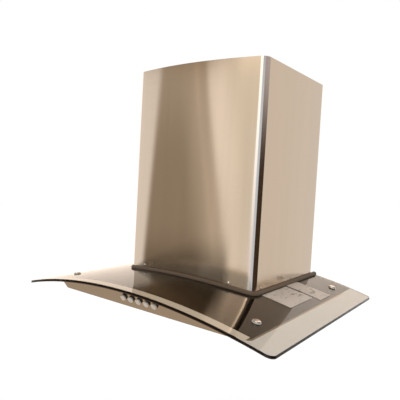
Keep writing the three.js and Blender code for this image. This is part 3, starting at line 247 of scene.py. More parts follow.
def brushed_steel(name="brushed_steel", painted_shade_tone=None):
    """Warm stainless steel with a level grain, a little uneven in tone from band to band. A painted shade
    tone, where given, darkens its colour towards the chimney's foot as a painted reflection of the dark
    glass.
    """
    def build(tree):
        steel = colours().steel
        bands = tree.noise((34, 12, 0.8), 4.0, 0.6)
        grain = tree.noise((5, 5, 1900), 2.0, 0.6)
        waves = tree.noise((5, 5, 1.6), 1.0)
        colour = tree.mix(tree.step(bands, 0.34, 0.66), shade(steel, 0.93), steel)
        colour = tree.mix(tree.step(grain, 0.3, 0.7), shade(steel, 0.97), colour)
        # Painted shade: the colour near the chimney's foot is darkened in place of the dark glass's
        # reflection in the steel.
        if painted_shade_tone:
            x, _, z = tree.parts(tree.place())
            above_glass = z - GLASS_HIGH.z + x * x * (1 / (2 * arch_radius()))
            # The painted shade reaches higher towards the right, and fades out before both corners.
            reach = 0.078 + x * 0.45
            foot = tree.step(above_glass, reach, 0.006)
            foot = foot * tree.step(x, 0.119, 0.097) * tree.step(x, -0.150, -0.128)
            colour = tree.mix(foot, colour, shade(steel, painted_shade_tone))
        relief = tree.bump(grain, 0.03, 0.00025, tree.bump(waves, 0.5, 0.0010))
        return tree.surface(colour, 0.09 + grain * 0.03, {
            "Metallic": 1.0, "Anisotropic": 0.85, "Anisotropic Rotation": 0.25, "Normal": relief})
    return finish_of(name, build)


def chimney_steel():
    """The brushed steel with painted shade in its colour towards the chimney's foot, a painted reflection of
    the dark glass.
    """
    return brushed_steel("chimney_steel", 0.40)


@as_finish
def panel_steel(tree):
    """The same steel lying flat, its grain from side to side."""
    steel = colours().steel
    grain = tree.noise((4, 1500, 4), 2.0, 0.6)
    clouds = tree.noise((6, 9, 6), 3.0)
    colour = tree.mix(tree.step(clouds, 0.3, 0.7), shade(steel, 0.9), steel)
    return tree.surface(colour, 0.34 + grain * 0.1, {
        "Metallic": 1.0, "Normal": tree.bump(grain, 0.05, 0.0003)})


@as_finish
def smoked_glass(tree):
    glass = colours().glass
    clouds = tree.noise(9)
    colour = tree.mix(tree.step(clouds, 0.3, 0.7), shade(glass, 0.985), glass)
    return tree.surface(colour, 0.0, {"IOR": 1.45, "Transmission Weight": 1.0})


def grained(name, noise, low_tone, high_tone, roughness, spread=0.0, relief=0.0, others=None):
    """A finish whose tone follows one fine noise, given as its scale and detail. So do its roughness, by the
    spread, and its surface, by the relief."""
    def build(tree):
        grain = tree.noise(*noise)
        inputs = dict(others or {})
        if relief:
            inputs["Normal"] = tree.bump(grain, relief)
        gloss = roughness + grain * spread if spread else roughness
        return tree.surface(tree.mix(grain, low_tone, high_tone), gloss, inputs)
    return finish_of(name, build)


def glass_edge():
    """Ground edge of the glass, nearly black when seen along the sheet."""
    return grained("glass_edge", (700, 2.0), (0.035, 0.016, 0.007), (0.065, 0.033, 0.017),
                   0.3, 0.15, 0.1, {"Specular IOR Level": 0.2})


# A pale bronze sheet laid along the glass's front strip.
def pale_front_band():
    """Pale bronze band laid along the front edge of the glass, under a gloss."""
    return grained("pale_front_band", (260, 3.0), (0.50, 0.41, 0.30), (0.56, 0.46, 0.345), 0.45, others={
        "Specular IOR Level": 0.0, "Coat Weight": 1.0, "Coat Roughness": 0.02})


def enamel():
    plate = colours().plate
    return grained("enamel", (420, 3.0), shade(plate, 0.8), shade(plate, 1.3),
                   0.5, 0.15, 0.05, {"Specular IOR Level": 0.05})


def trim_rubber():
    trim = colours().trim
    return grained("trim_rubber", (900, 3.0), shade(trim, 0.85), shade(trim, 1.15),
                   0.5, 0.12, 0.12, {"Specular IOR Level": 0.3})


def chrome():
    return grained("chrome", (160, 2.0), (0.70, 0.65, 0.58), (0.77, 0.72, 0.65),
                   0.13, 0.08, others={"Metallic": 1.0})


def satin_chrome():
    """Dull plated metal of the buttons, paler than the mirror chrome."""
    return grained("satin_chrome", (220, 3.0), (0.66, 0.58, 0.48), (0.76, 0.69, 0.59),
                   0.22, 0.1, 0.04, {"Metallic": 0.35})


def aluminium():
    return grained("aluminium", ((30, 600, 600), 3.0), (0.60, 0.59, 0.57), (0.74, 0.73, 0.71),
                   0.36, 0.12, 0.08, {"Metallic": 1.0})


def spring_steel():
    return grained("spring_steel", (500, 3.0), (0.38, 0.36, 0.33), (0.50, 0.48, 0.45),
                   0.3, 0.15, others={"Metallic": 1.0})


@as_finish
def galvanised(tree):
    """Zinc coated sheet with its crystal flakes."""
    tone = tree.add("ShaderNodeSeparateColor", None, {"Color": tree.cells(95, 1.0, "Color")})
    colour = tree.mix(tone, (0.40, 0.41, 0.41), (0.55, 0.56, 0.56))
    return tree.surface(colour, 0.38 + tone * 0.14, {"Metallic": 0.9})


def moulded(name, colour, roughness):
    """Moulded plastic with a fine spark-eroded grain."""
    def build(tree):
        grain = tree.noise(800)
        tone = tree.mix(tree.noise(30), shade(colour, 0.9), shade(colour, 1.08))
        return tree.surface(tone, roughness + grain * 0.1, {"Normal": tree.bump(grain, 0.15)})
    return finish_of(name, build)


@as_finish
def frosted_lens(tree):
    dimples = tree.cells(420, 0.2, "Distance")
    colour = tree.mix(dimples, (0.86, 0.85, 0.80), (0.74, 0.73, 0.69))
    return tree.surface(colour, 0.28, {
        "Transmission Weight": 0.35, "Normal": tree.bump(dimples, 0.4, 0.0006)})


@as_finish
def label_paper(tree):
    """Bare pale paper, a little uneven, smudged and lifted in places."""
    paper = colours().paper
    fibres = tree.noise((500, 900, 500), 3.0)
    damp = tree.noise((45, 60, 45), 3.0, 0.6)
    smudge = tree.noise((95, 30, 60), 4.0, 0.7, 1.2, (0, 0, 0.5))
    colour = tree.mix(fibres, shade(paper, 0.93), shade(paper, 1.05))
    colour = tree.mix(tree.step(damp, 0.52, 0.75), colour, shade(paper, 0.80))
    colour = tree.mix(tree.step(smudge, 0.57, 0.65), colour, shade(paper, 0.40))
    return tree.surface(colour, 0.5, {"Normal": tree.bump(damp, 0.3, 0.0008)})


@as_finish
def pale_floor(tree):
    """Pale matt floor that is clear when seen from below."""
    colour = tree.mix(tree.noise(3), (0.90, 0.90, 0.90), (0.94, 0.94, 0.94))
    top = tree.surface(colour, 0.9, {
        "Specular IOR Level": 0.0, "Emission Color": (1, 1, 1, 1), "Emission Strength": 0.12})
    under = tree.add("ShaderNodeBsdfTransparent")
    back = tree.add("ShaderNodeNewGeometry", output="Backfacing")
    return tree.add("ShaderNodeMixShader", None, {0: back, 1: top, 2: under})


def finish_for_slot(slot):
    """The finish of a material slot."""
    return {
        "canopy_glass": smoked_glass,
        "black_steel": enamel,
        "brushed_steel": brushed_steel,
        "galvanised": galvanised,
        "trim": trim_rubber,
        "chrome": chrome,
        "nylon": lambda: moulded("nylon", (0.62, 0.58, 0.50), 0.45),
        "black_plastic": lambda: moulded("black_plastic", (0.016, 0.015, 0.014), 0.42),
        "grey_plastic": lambda: moulded("grey_plastic", (0.17, 0.17, 0.16), 0.45),
        "aluminium": aluminium,
        "lamp_lens": frosted_lens,
        "spring_steel": spring_steel,
    }[slot]()


# ------------------------------------------------------------------ the glass's arch

def arch_radius():
    half = GLASS_HIGH.x
    rise = GLASS_HIGH.z - GLASS_LOW.z - sizes().glass_thickness
    return (half * half + rise * rise) / (2 * rise)


def glass_top(x):
    """Height of the glass's top face at a distance from the middle."""
    radius = arch_radius()
    return GLASS_HIGH.z - radius + math.sqrt(radius * radius - x * x)


def above_arch(offset):
    """Height over the glass's top face, as a function of x."""
    return lambda x: glass_top(x) + offset


def arch_normal(x):
    """Upward normal of the arch."""
    step = 0.001
    slope = (glass_top(x + step) - glass_top(x - step)) / (2 * step)
    return Vector((-slope, 0, 1)).normalized()


def front_edge(x, margin=0.0):
    """Y of the glass's front edge, or of a line that runs a margin behind it."""
    return GLASS_LOW.y + margin + sizes().glass_bow * (x / GLASS_HIGH.x) ** 2


def on_arch(x, y):
    """Place and turn that stand something square on the glass."""
    normal = arch_normal(x)
    tilt = math.atan2(normal.x, normal.z)
    return Matrix.Translation((x, y, glass_top(x))) @ Matrix.Rotation(tilt, 4, "Y")


# ------------------------------------------------------------------ plan lines

def spread(start, end, steps):
    """Numbers evenly spaced from start to end."""
    return [start + (end - start) * i / steps for i in range(steps + 1)]


def arc(x, y, r, start, end, steps):
    """Points of an arc in plan, its angles in degrees."""
    angles = [math.radians(angle) for angle in spread(start, end, steps)]
    return [(x + r * math.cos(angle), y + r * math.sin(angle)) for angle in angles]


def round_loops(spots, r, steps=24):
    """Circles in plan, one for each spot."""
    return [arc(x, y, r, 0, 360, steps)[:-1] for x, y in spots]


def inside(point, loops):
    """Whether a plan point is inside loops taken together, even to odd."""
    x, y = point
    odd = False
    for loop in loops:
        for (x0, y0), (x1, y1) in zip(loop, loop[1:] + loop[:1]):
            if (y0 > y) != (y1 > y) and x < x0 + (x1 - x0) * (y - y0) / (y1 - y0):
                odd = not odd
    return odd


def chimney_path(rear_y, flanged=False):
    """Outer line of the chimney from left rear round the front to right rear: (x, y, nx, ny)."""
    s = sizes()
    half = COVER_HIGH.x
    r = s.chimney_corner
    bow_radius = (half * half + s.chimney_bow ** 2) / (2 * s.chimney_bow)
    centre_y = COVER_LOW.y + bow_radius
    corner_x = half - r
    corner_y = centre_y - math.sqrt((bow_radius - r) ** 2 - corner_x ** 2)
    half_angle = math.asin(corner_x / (bow_radius - r))

    def along(x, y, radius, angles):
        turns = [(math.sin(angle), -math.cos(angle)) for angle in angles]
        return [(x + radius * nx, y + radius * ny, nx, ny) for nx, ny in turns]

    right = along(0, centre_y, bow_radius, spread(0, half_angle, 30))
    right += along(corner_x, corner_y, r, spread(half_angle, QUARTER, 16)[1:])
    if flanged:
        bend = 0.005
        right += along(half - bend, rear_y - bend, bend, spread(QUARTER, math.pi, 6))
        right.append((half - s.chimney_flange, rear_y, 0, 1))
    else:
        right.append((half, rear_y, 1, 0))
    left = [(-x, y, -nx, ny) for x, y, nx, ny in reversed(right[1:])]
    return left + right


# ------------------------------------------------------------------ meshes

def make_object(name, vertices, faces, finishes, face_finish=None, normals=None, sharp=SHARP):
    """A mesh object at the origin. Normals, where given, is one for each corner of each face."""
    mesh = bpy.data.meshes.new(name)
    mesh.from_pydata([tuple(v) for v in vertices], [], faces)
    for finish in finishes:
        mesh.materials.append(finish)
    if face_finish:
        mesh.polygons.foreach_set("material_index", face_finish)
    if normals is None:
        work = bmesh.new()
        work.from_mesh(mesh)
        bmesh.ops.remove_doubles(work, verts=work.verts, dist=MERGE)
        bmesh.ops.recalc_face_normals(work, faces=work.faces)
        work.to_mesh(mesh)
        work.free()
        mesh.shade_smooth()
        mesh.set_sharp_from_angle(angle=math.radians(sharp))
    else:
        mesh.shade_smooth()
        mesh.normals_split_custom_set(normals)
    made = bpy.data.objects.new(name, mesh)
    bpy.context.scene.collection.objects.link(made)
    return made


def settle(piece, body, slot, *nodes):
    """Sets a finished piece on its body, in place of the solids that it stands for."""
    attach(piece, body)
    if nodes:
        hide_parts(*nodes)


def apply(piece, change):
    """Applies a piece's modifier: what it makes of the mesh takes the mesh's place."""
    bpy.context.view_layer.update()
    ready = bpy.context.evaluated_depsgraph_get()
    mesh = bpy.data.meshes.new_from_object(piece.evaluated_get(ready))
    piece.modifiers.remove(change)
    piece.data = mesh


def cut(piece, vertices, faces):
    """Takes a closed mesh out of a piece."""
    cutter = make_object("cutter", vertices, faces, [piece.data.materials[0]])
    change = piece.modifiers.new("cut", "BOOLEAN")
    change.operation = "DIFFERENCE"
    change.solver = "EXACT"
    change.object = cutter
    apply(piece, change)
    bpy.data.objects.remove(cutter)
    piece.data.set_sharp_from_angle(angle=math.radians(SHARP))


def drill(piece, place, r, reach, segments=24):
    """Bores a round hole along the Z of a place, as far as the reach to both sides."""
    bore = lathe([(0, -reach), (r, -reach), (r, reach), (0, reach)], segments)
    cut(piece, *moved(bore, place))


def skin(rows, count, closed):
    """Faces between rows of points, each a ring of the same count. Closed joins the last row to the first."""
    faces = []
    for k in range(rows if closed else rows - 1):
        first = k * count
        second = (k + 1) % rows * count
        for i in range(count):
            j = (i + 1) % count
            faces.append((first + i, first + j, second + j, second + i))
    return faces


def sweep(path, section):
    """Vertices and faces of a closed section carried along an open path. The path's points are (x, y, nx, ny)
    and the section's are (offset outwards, height or a function of x)."""
    count = len(section)
    vertices = []
    for x, y, nx, ny in path:
        for offset, height in section:
            px = x + nx * offset
            vertices.append((px, y + ny * offset, height(px) if callable(height) else height))
    ends = [tuple(range(start, start + count)) for start in (0, (len(path) - 1) * count)]
    return vertices, skin(len(path), count, False) + ends


def lathe(profile, segments):
    """Vertices and faces of a profile of (radius or a function of the angle, height) pairs turned about Z. It
    starts and ends on the axis, or else it is closed on itself as a ring."""
    vertices = []
    rows = []
    for r, z in profile:
        if r == 0:
            rows.append([len(vertices)])
            vertices.append((0, 0, z))
            continue
        rows.append(list(range(len(vertices), len(vertices) + segments)))
        for angle in spread(0, 2 * math.pi, segments)[:-1]:
            reach = r(angle) if callable(r) else r
            vertices.append((reach * math.cos(angle), reach * math.sin(angle), z))
    pairs = list(zip(rows, rows[1:]))
    if profile[0][0] and profile[-1][0]:
        pairs.append((rows[-1], rows[0]))
    faces = []
    for low, high in pairs:
        for k in range(segments):
            quad = [row[i % len(row)] for row, i in ((low, k), (low, k + 1), (high, k + 1), (high, k))]
            corners = [i for n, i in enumerate(quad) if i not in quad[:n]]
            if len(corners) > 2:
                faces.append(corners)
    return vertices, faces


def bar(x, y, z):
    """Vertices and faces of a box, from its half sizes."""
    corners = [(a * x, b * y, c * z) for c in (-1, 1) for a, b in ((-1, -1), (1, -1), (1, 1), (-1, 1))]
    return corners, [(3, 2, 1, 0), (4, 5, 6, 7), (0, 1, 5, 4), (1, 2, 6, 5), (2, 3, 7, 6), (3, 0, 4, 7)]


def moved(made, matrix):
    vertices, faces = made
    return [tuple(matrix @ Vector(v)) for v in vertices], faces


def facing(at, way):
    """Place and turn that lay something built about +Z along another direction."""
    return Matrix.Translation(at) @ way.to_track_quat("Z", "Y").to_matrix().to_4x4()


def turned(name, profile, place, *finishes, segments=48, sharp=SHARP):
    """A turned piece in its place."""
    return make_object(name, *moved(lathe(profile, segments), place), finishes, sharp=sharp)


def rounded(profile, radius, steps=3):
    """A turned profile with its inner corners eased."""
    eased = [profile[0]]
    for before, corner, after in zip(profile, profile[1:], profile[2:]):
        at = Vector(corner)
        back = Vector(before) - at
        on = Vector(after) - at
        reach = min(radius, back.length / 2.2, on.length / 2.2)
        start = at + back.normalized() * reach
        end = at + on.normalized() * reach
        for t in spread(0, 1, steps):
            eased.append(tuple(start * (1 - t) ** 2 + at * 2 * t * (1 - t) + end * t * t))
    eased.append(profile[-1])
    return eased


def fill(loops, spacing):
    """Plan points, and the triangles on them that cover the area inside the loops. Lines square to X cut it
    into strips, so that it can bend."""
    points = []
    edges = []
    for loop in loops:
        start = len(points)
        points += [Vector(p) for p in loop]
        edges += [(start + i, start + (i + 1) % len(loop)) for i in range(len(loop))]
    beyond = 0.001
    low = min(p.y for p in points) - beyond
    high = max(p.y for p in points) + beyond
    lines = math.floor((max(abs(p.x) for p in points) + beyond) / spacing)
    for i in range(-lines, lines + 1):
        edges.append((len(points), len(points) + 1))
        points += [Vector((i * spacing, low)), Vector((i * spacing, high))]
    plan, _, triangles, *_ = delaunay_2d_cdt(points, edges, [], 0, 1e-7)
    kept = []
    for a, b, c in triangles:
        if inside((plan[a] + plan[b] + plan[c]) / 3, loops):
            clockwise = (plan[b] - plan[a]).cross(plan[c] - plan[a]) < 0
            kept.append((a, c, b) if clockwise else (a, b, c))
    return plan, kept


def arched_sheet(name, loops, top, bottom, finishes, arris=0.0, spacing=0.012):
    """Sheet bent over the arch. Its plan is the area inside the loops, and top and bottom are offsets of its
    faces from the glass's top face. The arris is a small slant that takes off both rims, and a second finish
    covers the edge, or with an arris its lower part."""
    plan, triangles = fill(loops, spacing)
    directed = {(t[i], t[(i + 1) % 3]) for t in triangles for i in range(3)}
    rim = [(a, b) for a, b in directed if (b, a) not in directed]
    outward = {}
    for a, b in rim:
        way = plan[b] - plan[a]
        side = Vector((way.y, -way.x)).normalized()
        for end in (a, b):
            outward[end] = outward.get(end, Vector((0, 0))) + side
    outward = {i: side.normalized() for i, side in outward.items()}

    # Rows of the edge as (name, height, how far out), and the bands between them as (finish, upward tilt).
    edge = len(finishes) - 1
    rows = [("top", top, 0), ("bottom", bottom, 0)]
    bands = [(edge, 0)]
    if arris:
        waist_share = 0.64
        waist = top + (bottom - top) * waist_share
        rows[1:1] = [("shoulder", top - arris, arris), ("waist", waist, arris),
                     ("foot", bottom + arris, arris)]
        bands = [(0, 1), (0, 0), (edge, 0), (edge, -1)]

    vertices = []
    index_of = {}
    faces = []
    face_finish = []
    normals = []

    def vertex(i, row, height, out):
        if (row, i) not in index_of:
            index_of[row, i] = len(vertices)
            x, y = plan[i] + outward[i] * out if out else plan[i]
            vertices.append((x, y, glass_top(x) + height))
        return index_of[row, i]

    def add_face(corners, finish, corner_normals):
        faces.append(corners)
        face_finish.append(finish)
        normals.extend(corner_normals)

    for t in triangles:
        ups = [arch_normal(plan[i].x) for i in t]
        add_face([vertex(i, *rows[0]) for i in t], 0, ups)
        add_face([vertex(i, *rows[-1]) for i in reversed(t)], 0, [-up for up in reversed(ups)])
    corner_limit = 0.9
    for a, b in rim:
        ways = [outward[a], outward[b]]
        side = (ways[0] + ways[1]).normalized()
        if ways[0].dot(side) < corner_limit:
            ways = [side, side]
        up = arch_normal(plan[a].x)
        for (finish, tilt), high, low in zip(bands, rows, rows[1:]):
            near, far = [(Vector((*way, 0)) + up * tilt).normalized() for way in ways]
            corners = [vertex(a, *high), vertex(a, *low), vertex(b, *low), vertex(b, *high)]
            add_face(corners, finish, [near, near, far, far])
    return make_object(name, vertices, faces, finishes, face_finish, normals)


# ------------------------------------------------------------------ where pieces stand

def middle_of(name):
    """Middle of a solid's box."""
    low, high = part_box(name)
    return (low + high) / 2


def over_middle(name, z):
    """Place over the middle of a solid's box, at a height."""
    return Matrix.Translation((*middle_of(name).xy, z))


def glass_screw_spots():
    return [middle_of("glass_washer_" + where).xy for where in SCREW_CORNERS]


def button_places():
    """Place and turn of each button, its axis square out of the casing's face."""
    s = sizes()
    turn = Matrix.Rotation(math.atan2(1, -s.casing_lean), 4, "X")
    front = -s.casing_depth - s.casing_lean * s.button_rise
    spots = [(i * s.button_step, front, UNDERSIDE + s.button_rise) for i in range(-2, 3)]
    return [Matrix.Translation(at) @ turn for at in spots]


def casing_point(corner, z, inset):
    """Point of the casing's outline at a height, moved in by an inset. The corner is (side, rear, share of
    the half width, angle): on a round corner where it has an angle, or else on the rear or the front."""
    s = sizes()
    side, rear, share, angle = corner
    half = s.casing_half + s.casing_lean * (z - UNDERSIDE) - inset
    front = -s.casing_depth - s.casing_lean * (z - UNDERSIDE) + inset
    if rear:
        return share * half, -inset
    least_radius = 0.0003
    r = max(s.casing_corner - inset, least_radius)
    if angle is None:
        return share * (half - r), front
    return side * (half - r) + r * math.cos(angle), front + r + r * math.sin(angle)


# ------------------------------------------------------------------ operators

class HOOD_OT_stage(bpy.types.Operator):
    """Make the floor, the studio's light and the camera"""

    bl_idname = "hood.stage"
    bl_label = "Studio"

    backdrop = (1.36, 1.12, 0.94)

    def execute(self, context):
        reach, drop = 9, 0.62
        corners = [(x * reach, y * reach, UNDERSIDE - drop) for x, y in ((-1, -1), (1, -1), (1, 1), (-1, 1))]
        floor = make_object("floor", corners, [(0, 1, 2, 3)], [pale_floor()], normals=[(0, 0, 1)] * 4)
        floor.visible_glossy = False
        self.world(context)
        self.camera(context)
        context.scene.view_settings.view_transform = "Standard"
        return FINISHED

    def world(self, context):
        """Plain soft light, and for mirrored rays a studio with brighter and darker parts all round. Its
        angles are in degrees: the height above the horizon, and the azimuth from straight out in front of the
        hood towards its right."""
        world = bpy.data.worlds.new("studio")
        world.use_nodes = True
        context.scene.world = world
        tree = Tree(world.node_tree)
        x, y, z = tree.parts(tree.add("ShaderNodeTexCoord", output="Generated"))
        azimuth = x.math("ARCTAN2", x, 0 - y) * DEGREES
        height = tree.add("ShaderNodeMath", {"operation": "ARCSINE"}, {0: z}) * DEGREES
        left_edge = azimuth - height * 0.25
        right_edge = azimuth + height * 0.6

        def rising(low, high, below, above):
            """A tone that passes into another between two heights."""
            return tree.mix(tree.step(height, low, high), below, above)

        haze = rising(-11, -7, (0.17, 0.145, 0.115), (0.325, 0.292, 0.249))
        window = rising(-12, 8, (0.88, 0.93, 1.08), (1.40, 1.65, 1.95))
        doorway = rising(2, 17, (0.045, 0.03, 0.02), (0.58, 0.60, 0.70))
        pillar = rising(-6, 5, (0.735, 0.74, 0.715), (0.81, 0.82, 0.79))
        colour = rising(2, 18, haze, (0.48, 0.455, 0.415))
        for edge, start, end, tone in (
                (right_edge, -41, -26, (0.52, 0.49, 0.44)),
                (right_edge, -29.5, -28.5, (0.60, 0.57, 0.51)),
                (right_edge, -28, -27, (0.53, 0.50, 0.45)),
                (right_edge, -24, -21, rising(-6, 5, (0.86, 0.86, 0.86), (0.98, 0.99, 0.99))),
                (right_edge, -18, -6, rising(14, 18, pillar, (1.35, 1.26, 1.16))),
                (left_edge, -58, -62, (0.85, 0.88, 0.93)),
                (azimuth, -97, -113, self.backdrop),
                (left_edge, -7, 3, rising(15, 19, window, (3.2, 3.1, 2.9))),
                (azimuth, 24, 38, rising(15, 19, (0.66, 0.82, 1.12), (0.34, 0.30, 0.25))),
                (azimuth, 57, 67, rising(17, 19.5, doorway, (0.03, 0.02, 0.012))),
                (azimuth, 134, 146, rising(16, 20, (0.735, 0.735, 0.73), (0.63, 0.575, 0.53))),
                (azimuth, 168, 179, self.backdrop)):
            colour = tree.mix(tree.step(edge, start, end), colour, tone)
        later = height - tree.step(azimuth, -34, -14) * 2.6
        dusk = tree.step(later, 13.2, 15.5) * tree.step(azimuth, -12, -19) * tree.step(azimuth, -90, -80)
        colour = tree.mix(dusk, colour, (0.27, 0.21, 0.145))
        colour = rising(-14, -34, colour, (0.40, 0.36, 0.31))
        glossy = tree.add("ShaderNodeLightPath", output="Is Glossy Ray")
        through = Value(tree, glossy.socket.node.outputs["Is Transmission Ray"])
        colour = tree.mix(glossy * (1 - through), (1, 1, 1), colour)
        light = tree.add("ShaderNodeBackground", None, {"Color": colour})
        tree.add("ShaderNodeOutputWorld", None, {"Surface": light})

    def camera(self, context):
        data = bpy.data.cameras.new("camera")
        data.sensor_width = 36
        data.lens = 39.779
        data.shift_x = -0.003682
        data.shift_y = -0.006092
        data.clip_start = 0.01
        camera = bpy.data.objects.new("camera", data)
        context.scene.collection.objects.link(camera)
        stand = (0.572992, -1.0330597, -0.0443026)
        yaw, pitch, roll = 0.6371, -0.0418, 0.0556
        camera.matrix_world = (Matrix.Translation(stand) @ Matrix.Rotation(yaw, 4, "Z")
                               @ Matrix.Rotation(QUARTER + pitch, 4, "X") @ Matrix.Rotation(roll, 4, "Z"))
        context.scene.camera = camera


class HOOD_OT_finishes(bpy.types.Operator):
    """Give every carried solid its finish"""

    bl_idname = "hood.finishes"
    bl_label = "Finishes"

    def execute(self, context):
        slots = {part["node"]: part["material_slot"] for part in frame["record"]["subparts"]}
        for name, node in frame["nodes"].items():
            node.data.materials.clear()
            node.data.materials.append(finish_for_slot(slots[name]))
        frame["nodes"]["underside_panel"].data.materials[0] = panel_steel()
        return FINISHED


class HOOD_OT_canopy(bpy.types.Operator):
    """Make the arched glass canopy, a pale band along its front edge and the dark plate that it lies on"""

    bl_idname = "hood.canopy"
    bl_label = "Glass Canopy and Plate"

    arris = 0.0006
    glass_hole = 0.004
    plate_hole = 0.0027
    plate_margin = 0.022
    band_half = 0.252
    band_margins = (0.0022, 0.0212)
    band_faces = (0.00016, 0.00004)

    def execute(self, context):
        s = sizes()
        holes = round_loops(glass_screw_spots(), self.glass_hole + self.arris)
        glass = arched_sheet("canopy_glass_sheet", [self.glass_outline(), *holes], 0, -s.glass_thickness,
                             [smoked_glass(), glass_edge()], self.arris)
        settle(glass, "root", "canopy_glass", "glass_canopy")

        half = self.band_half
        front, rear = self.band_margins
        band = [(x, front_edge(x, front)) for x in spread(-half, half, 44)]
        band += [(x, front_edge(x, rear)) for x in spread(half, -half, 44)]
        border = arched_sheet("front_border_band", [band], *self.band_faces, [pale_front_band()])
        settle(border, "root", "trim")

        top = -s.glass_thickness - s.fit
        half, rear = PLATE_HIGH.x, PLATE_HIGH.y
        notch_x, notch_y = s.plate_notch_half, -s.plate_notch_depth
        plan = [(x, front_edge(x, self.plate_margin)) for x in spread(-half, half, 44)]
        plan += [(half, rear), (notch_x, rear), (notch_x, notch_y)]
        plan += [(-notch_x, notch_y), (-notch_x, rear), (-half, rear)]
        holes = round_loops(glass_screw_spots(), self.plate_hole)
        plate = arched_sheet("top_plate_sheet", [plan, *holes], top, top - s.sheet, [enamel()])
        settle(plate, "root", "black_steel", "top_plate")
        return FINISHED

    def glass_outline(self):
        """Plan of the glass's top face, inside the arris, with the notch that the chimney stands in."""
        s = sizes()
        arris = self.arris
        half = GLASS_HIGH.x - arris
        r, rear_r = s.glass_corner - arris, s.glass_rear_corner - arris
        corner_x, rear_x, rear_y = half - r, half - rear_r, -arris - rear_r
        corner_y = front_edge(corner_x) + arris + r
        inset = arris - s.sheet
        outline = [(x, front_edge(x) + arris) for x in spread(-corner_x, corner_x, 48)[:-1]]
        outline += arc(corner_x, corner_y, r, -90, 0, 10)
        outline += arc(rear_x, rear_y, rear_r, 0, 90, 8)
        outline += [(x + nx * inset, y + ny * inset) for x, y, nx, ny in reversed(chimney_path(-arris))]
        outline += arc(-rear_x, rear_y, rear_r, 90, 180, 8)
        outline += arc(-corner_x, corner_y, r, 180, 270, 10)[:-1]
        return outline


class HOOD_OT_chimney(bpy.types.Operator):
    """Make the bowed chimney cover and the dark trim round its foot"""

    bl_idname = "hood.chimney"
    bl_label = "Chimney and Trim"

    hole_y = -0.135
    hole_rise = 0.0105
    hole_radius = 0.0018

    def execute(self, context):
        s = sizes()
        on = above_arch
        width, height = s.trim_width, s.trim_height
        foot, top = on(height + s.fit), COVER_HIGH.z
        wall = [(0, foot), (0, top), (-s.sheet, top), (-s.sheet, foot)]
        made = sweep(chimney_path(COVER_HIGH.y, True), wall)
        cover = make_object("chimney_cover_sheet", *made, [chimney_steel()])
        for side in (-1, 1):
            spot = Vector((side * COVER_HIGH.x, self.hole_y, glass_top(COVER_HIGH.x) + self.hole_rise))
            drill(cover, facing(spot, Vector((side, 0, 0))), self.hole_radius, reach=0.005)
        settle(cover, "root", "brushed_steel", "chimney_cover")

        edge = height * 0.6
        section = [(width, on(s.fit)), (width, on(edge)), (width - 0.0004, on(edge + 0.0008)),
                   (width - 0.0014, on(height - 0.0003)), (width - 0.0020, on(height)),
                   (-s.sheet, on(height)), (-s.sheet, on(s.fit))]
        made = sweep(chimney_path(-s.fit), section)
        trim = make_object("base_trim_moulding", *made, [trim_rubber()], sharp=50)
        settle(trim, "root", "trim", "base_trim")
        return FINISHED


class HOOD_OT_casing(bpy.types.Operator):
    """Make the shallow casing with its leaning walls and holes for the buttons"""

    bl_idname = "hood.casing"
    bl_label = "Casing"

    fold = 0.0015
    lip = 0.012
    button_hole = 0.0065

    def execute(self, context):
        s = sizes()
        corners = [(0, True, share, None) for share in spread(1, -1, 40)]
        corners += [(-1, False, 0, angle) for angle in spread(math.pi, 3 * QUARTER, 8)]
        corners += [(0, False, share, None) for share in spread(-1, 1, 40)[1:-1]]
        corners += [(1, False, 0, angle) for angle in spread(3 * QUARTER, 4 * QUARTER, 8)]
        wall = s.sheet * math.hypot(1, s.casing_lean)
        lip = self.lip + wall

        def level_row(z, inset):
            return [(*casing_point(corner, z, inset), z) for corner in corners]

        rows = [level_row(UNDERSIDE, lip)]
        for angle in spread(0, QUARTER, 4):
            z = UNDERSIDE + self.fold * (1 - math.cos(angle))
            rows.append(level_row(z, self.fold * (1 - math.sin(angle))))
        rows += [[self.top_point(corner, inset) for corner in corners] for inset in (0, wall)]
        rows += [level_row(UNDERSIDE + s.sheet, wall), level_row(UNDERSIDE + s.sheet, lip)]
        vertices = [v for row in rows for v in row]
        casing = make_object("casing_shell", vertices, skin(len(rows), len(corners), True), [brushed_steel()])
        for place in button_places():
            drill(casing, place, self.button_hole, reach=0.01, segments=48)
        settle(casing, "root", "brushed_steel", "hood_casing")
        return FINISHED

    @staticmethod
    def top_point(corner, inset):
        """Where the leaning wall meets the plate, found by going up to the arch over the last guess."""
        s = sizes()
        first_guess, rounds = 0.03, 8
        z = UNDERSIDE + first_guess
        for _ in range(rounds):
            x, y = casing_point(corner, z, inset)
            z = glass_top(x) - s.glass_thickness - s.fit - s.sheet - s.fit
        return (x, y, z)


class HOOD_OT_buttons(bpy.types.Operator):
    """Make the five round push buttons"""

    bl_idname = "hood.buttons"
    bl_label = "Push Buttons"

    proud = 0.006
    length = 0.014
    radius = 0.0062
    # Height up to which the button's side is painted dark as shade.
    painted_shade_skirt = 0.0026

    def execute(self, context):
        top, r, painted_shade_skirt = self.proud, self.radius, self.painted_shade_skirt
        end = top - self.length
        profile = [(0, end), (r, end), (r, painted_shade_skirt), (r, top - 0.0011), (r - 0.0004, top - 0.0003),
                   (r - 0.0012, top), (r - 0.0020, top - 0.0001), (r - 0.0030, top - 0.0008),
                   (0, top - 0.0011)]
        for i, place in enumerate(button_places(), 1):
            button = turned(f"button_cap_{i}", rounded(profile, 0.0003), place,
                            satin_chrome(), finish_for_slot("black_plastic"))
            axis = place.to_3x3().col[2]
            # Painted shade: the foot of each button's side takes the dark plastic finish, a dark skirt in
            # place of the shade round the button.
            for face in button.data.polygons:
                if (face.center - place.translation).dot(axis) < painted_shade_skirt:
                    face.material_index = 1
            settle(button, f"push_button_{i}", "chrome", f"button_{i}")
        return FINISHED


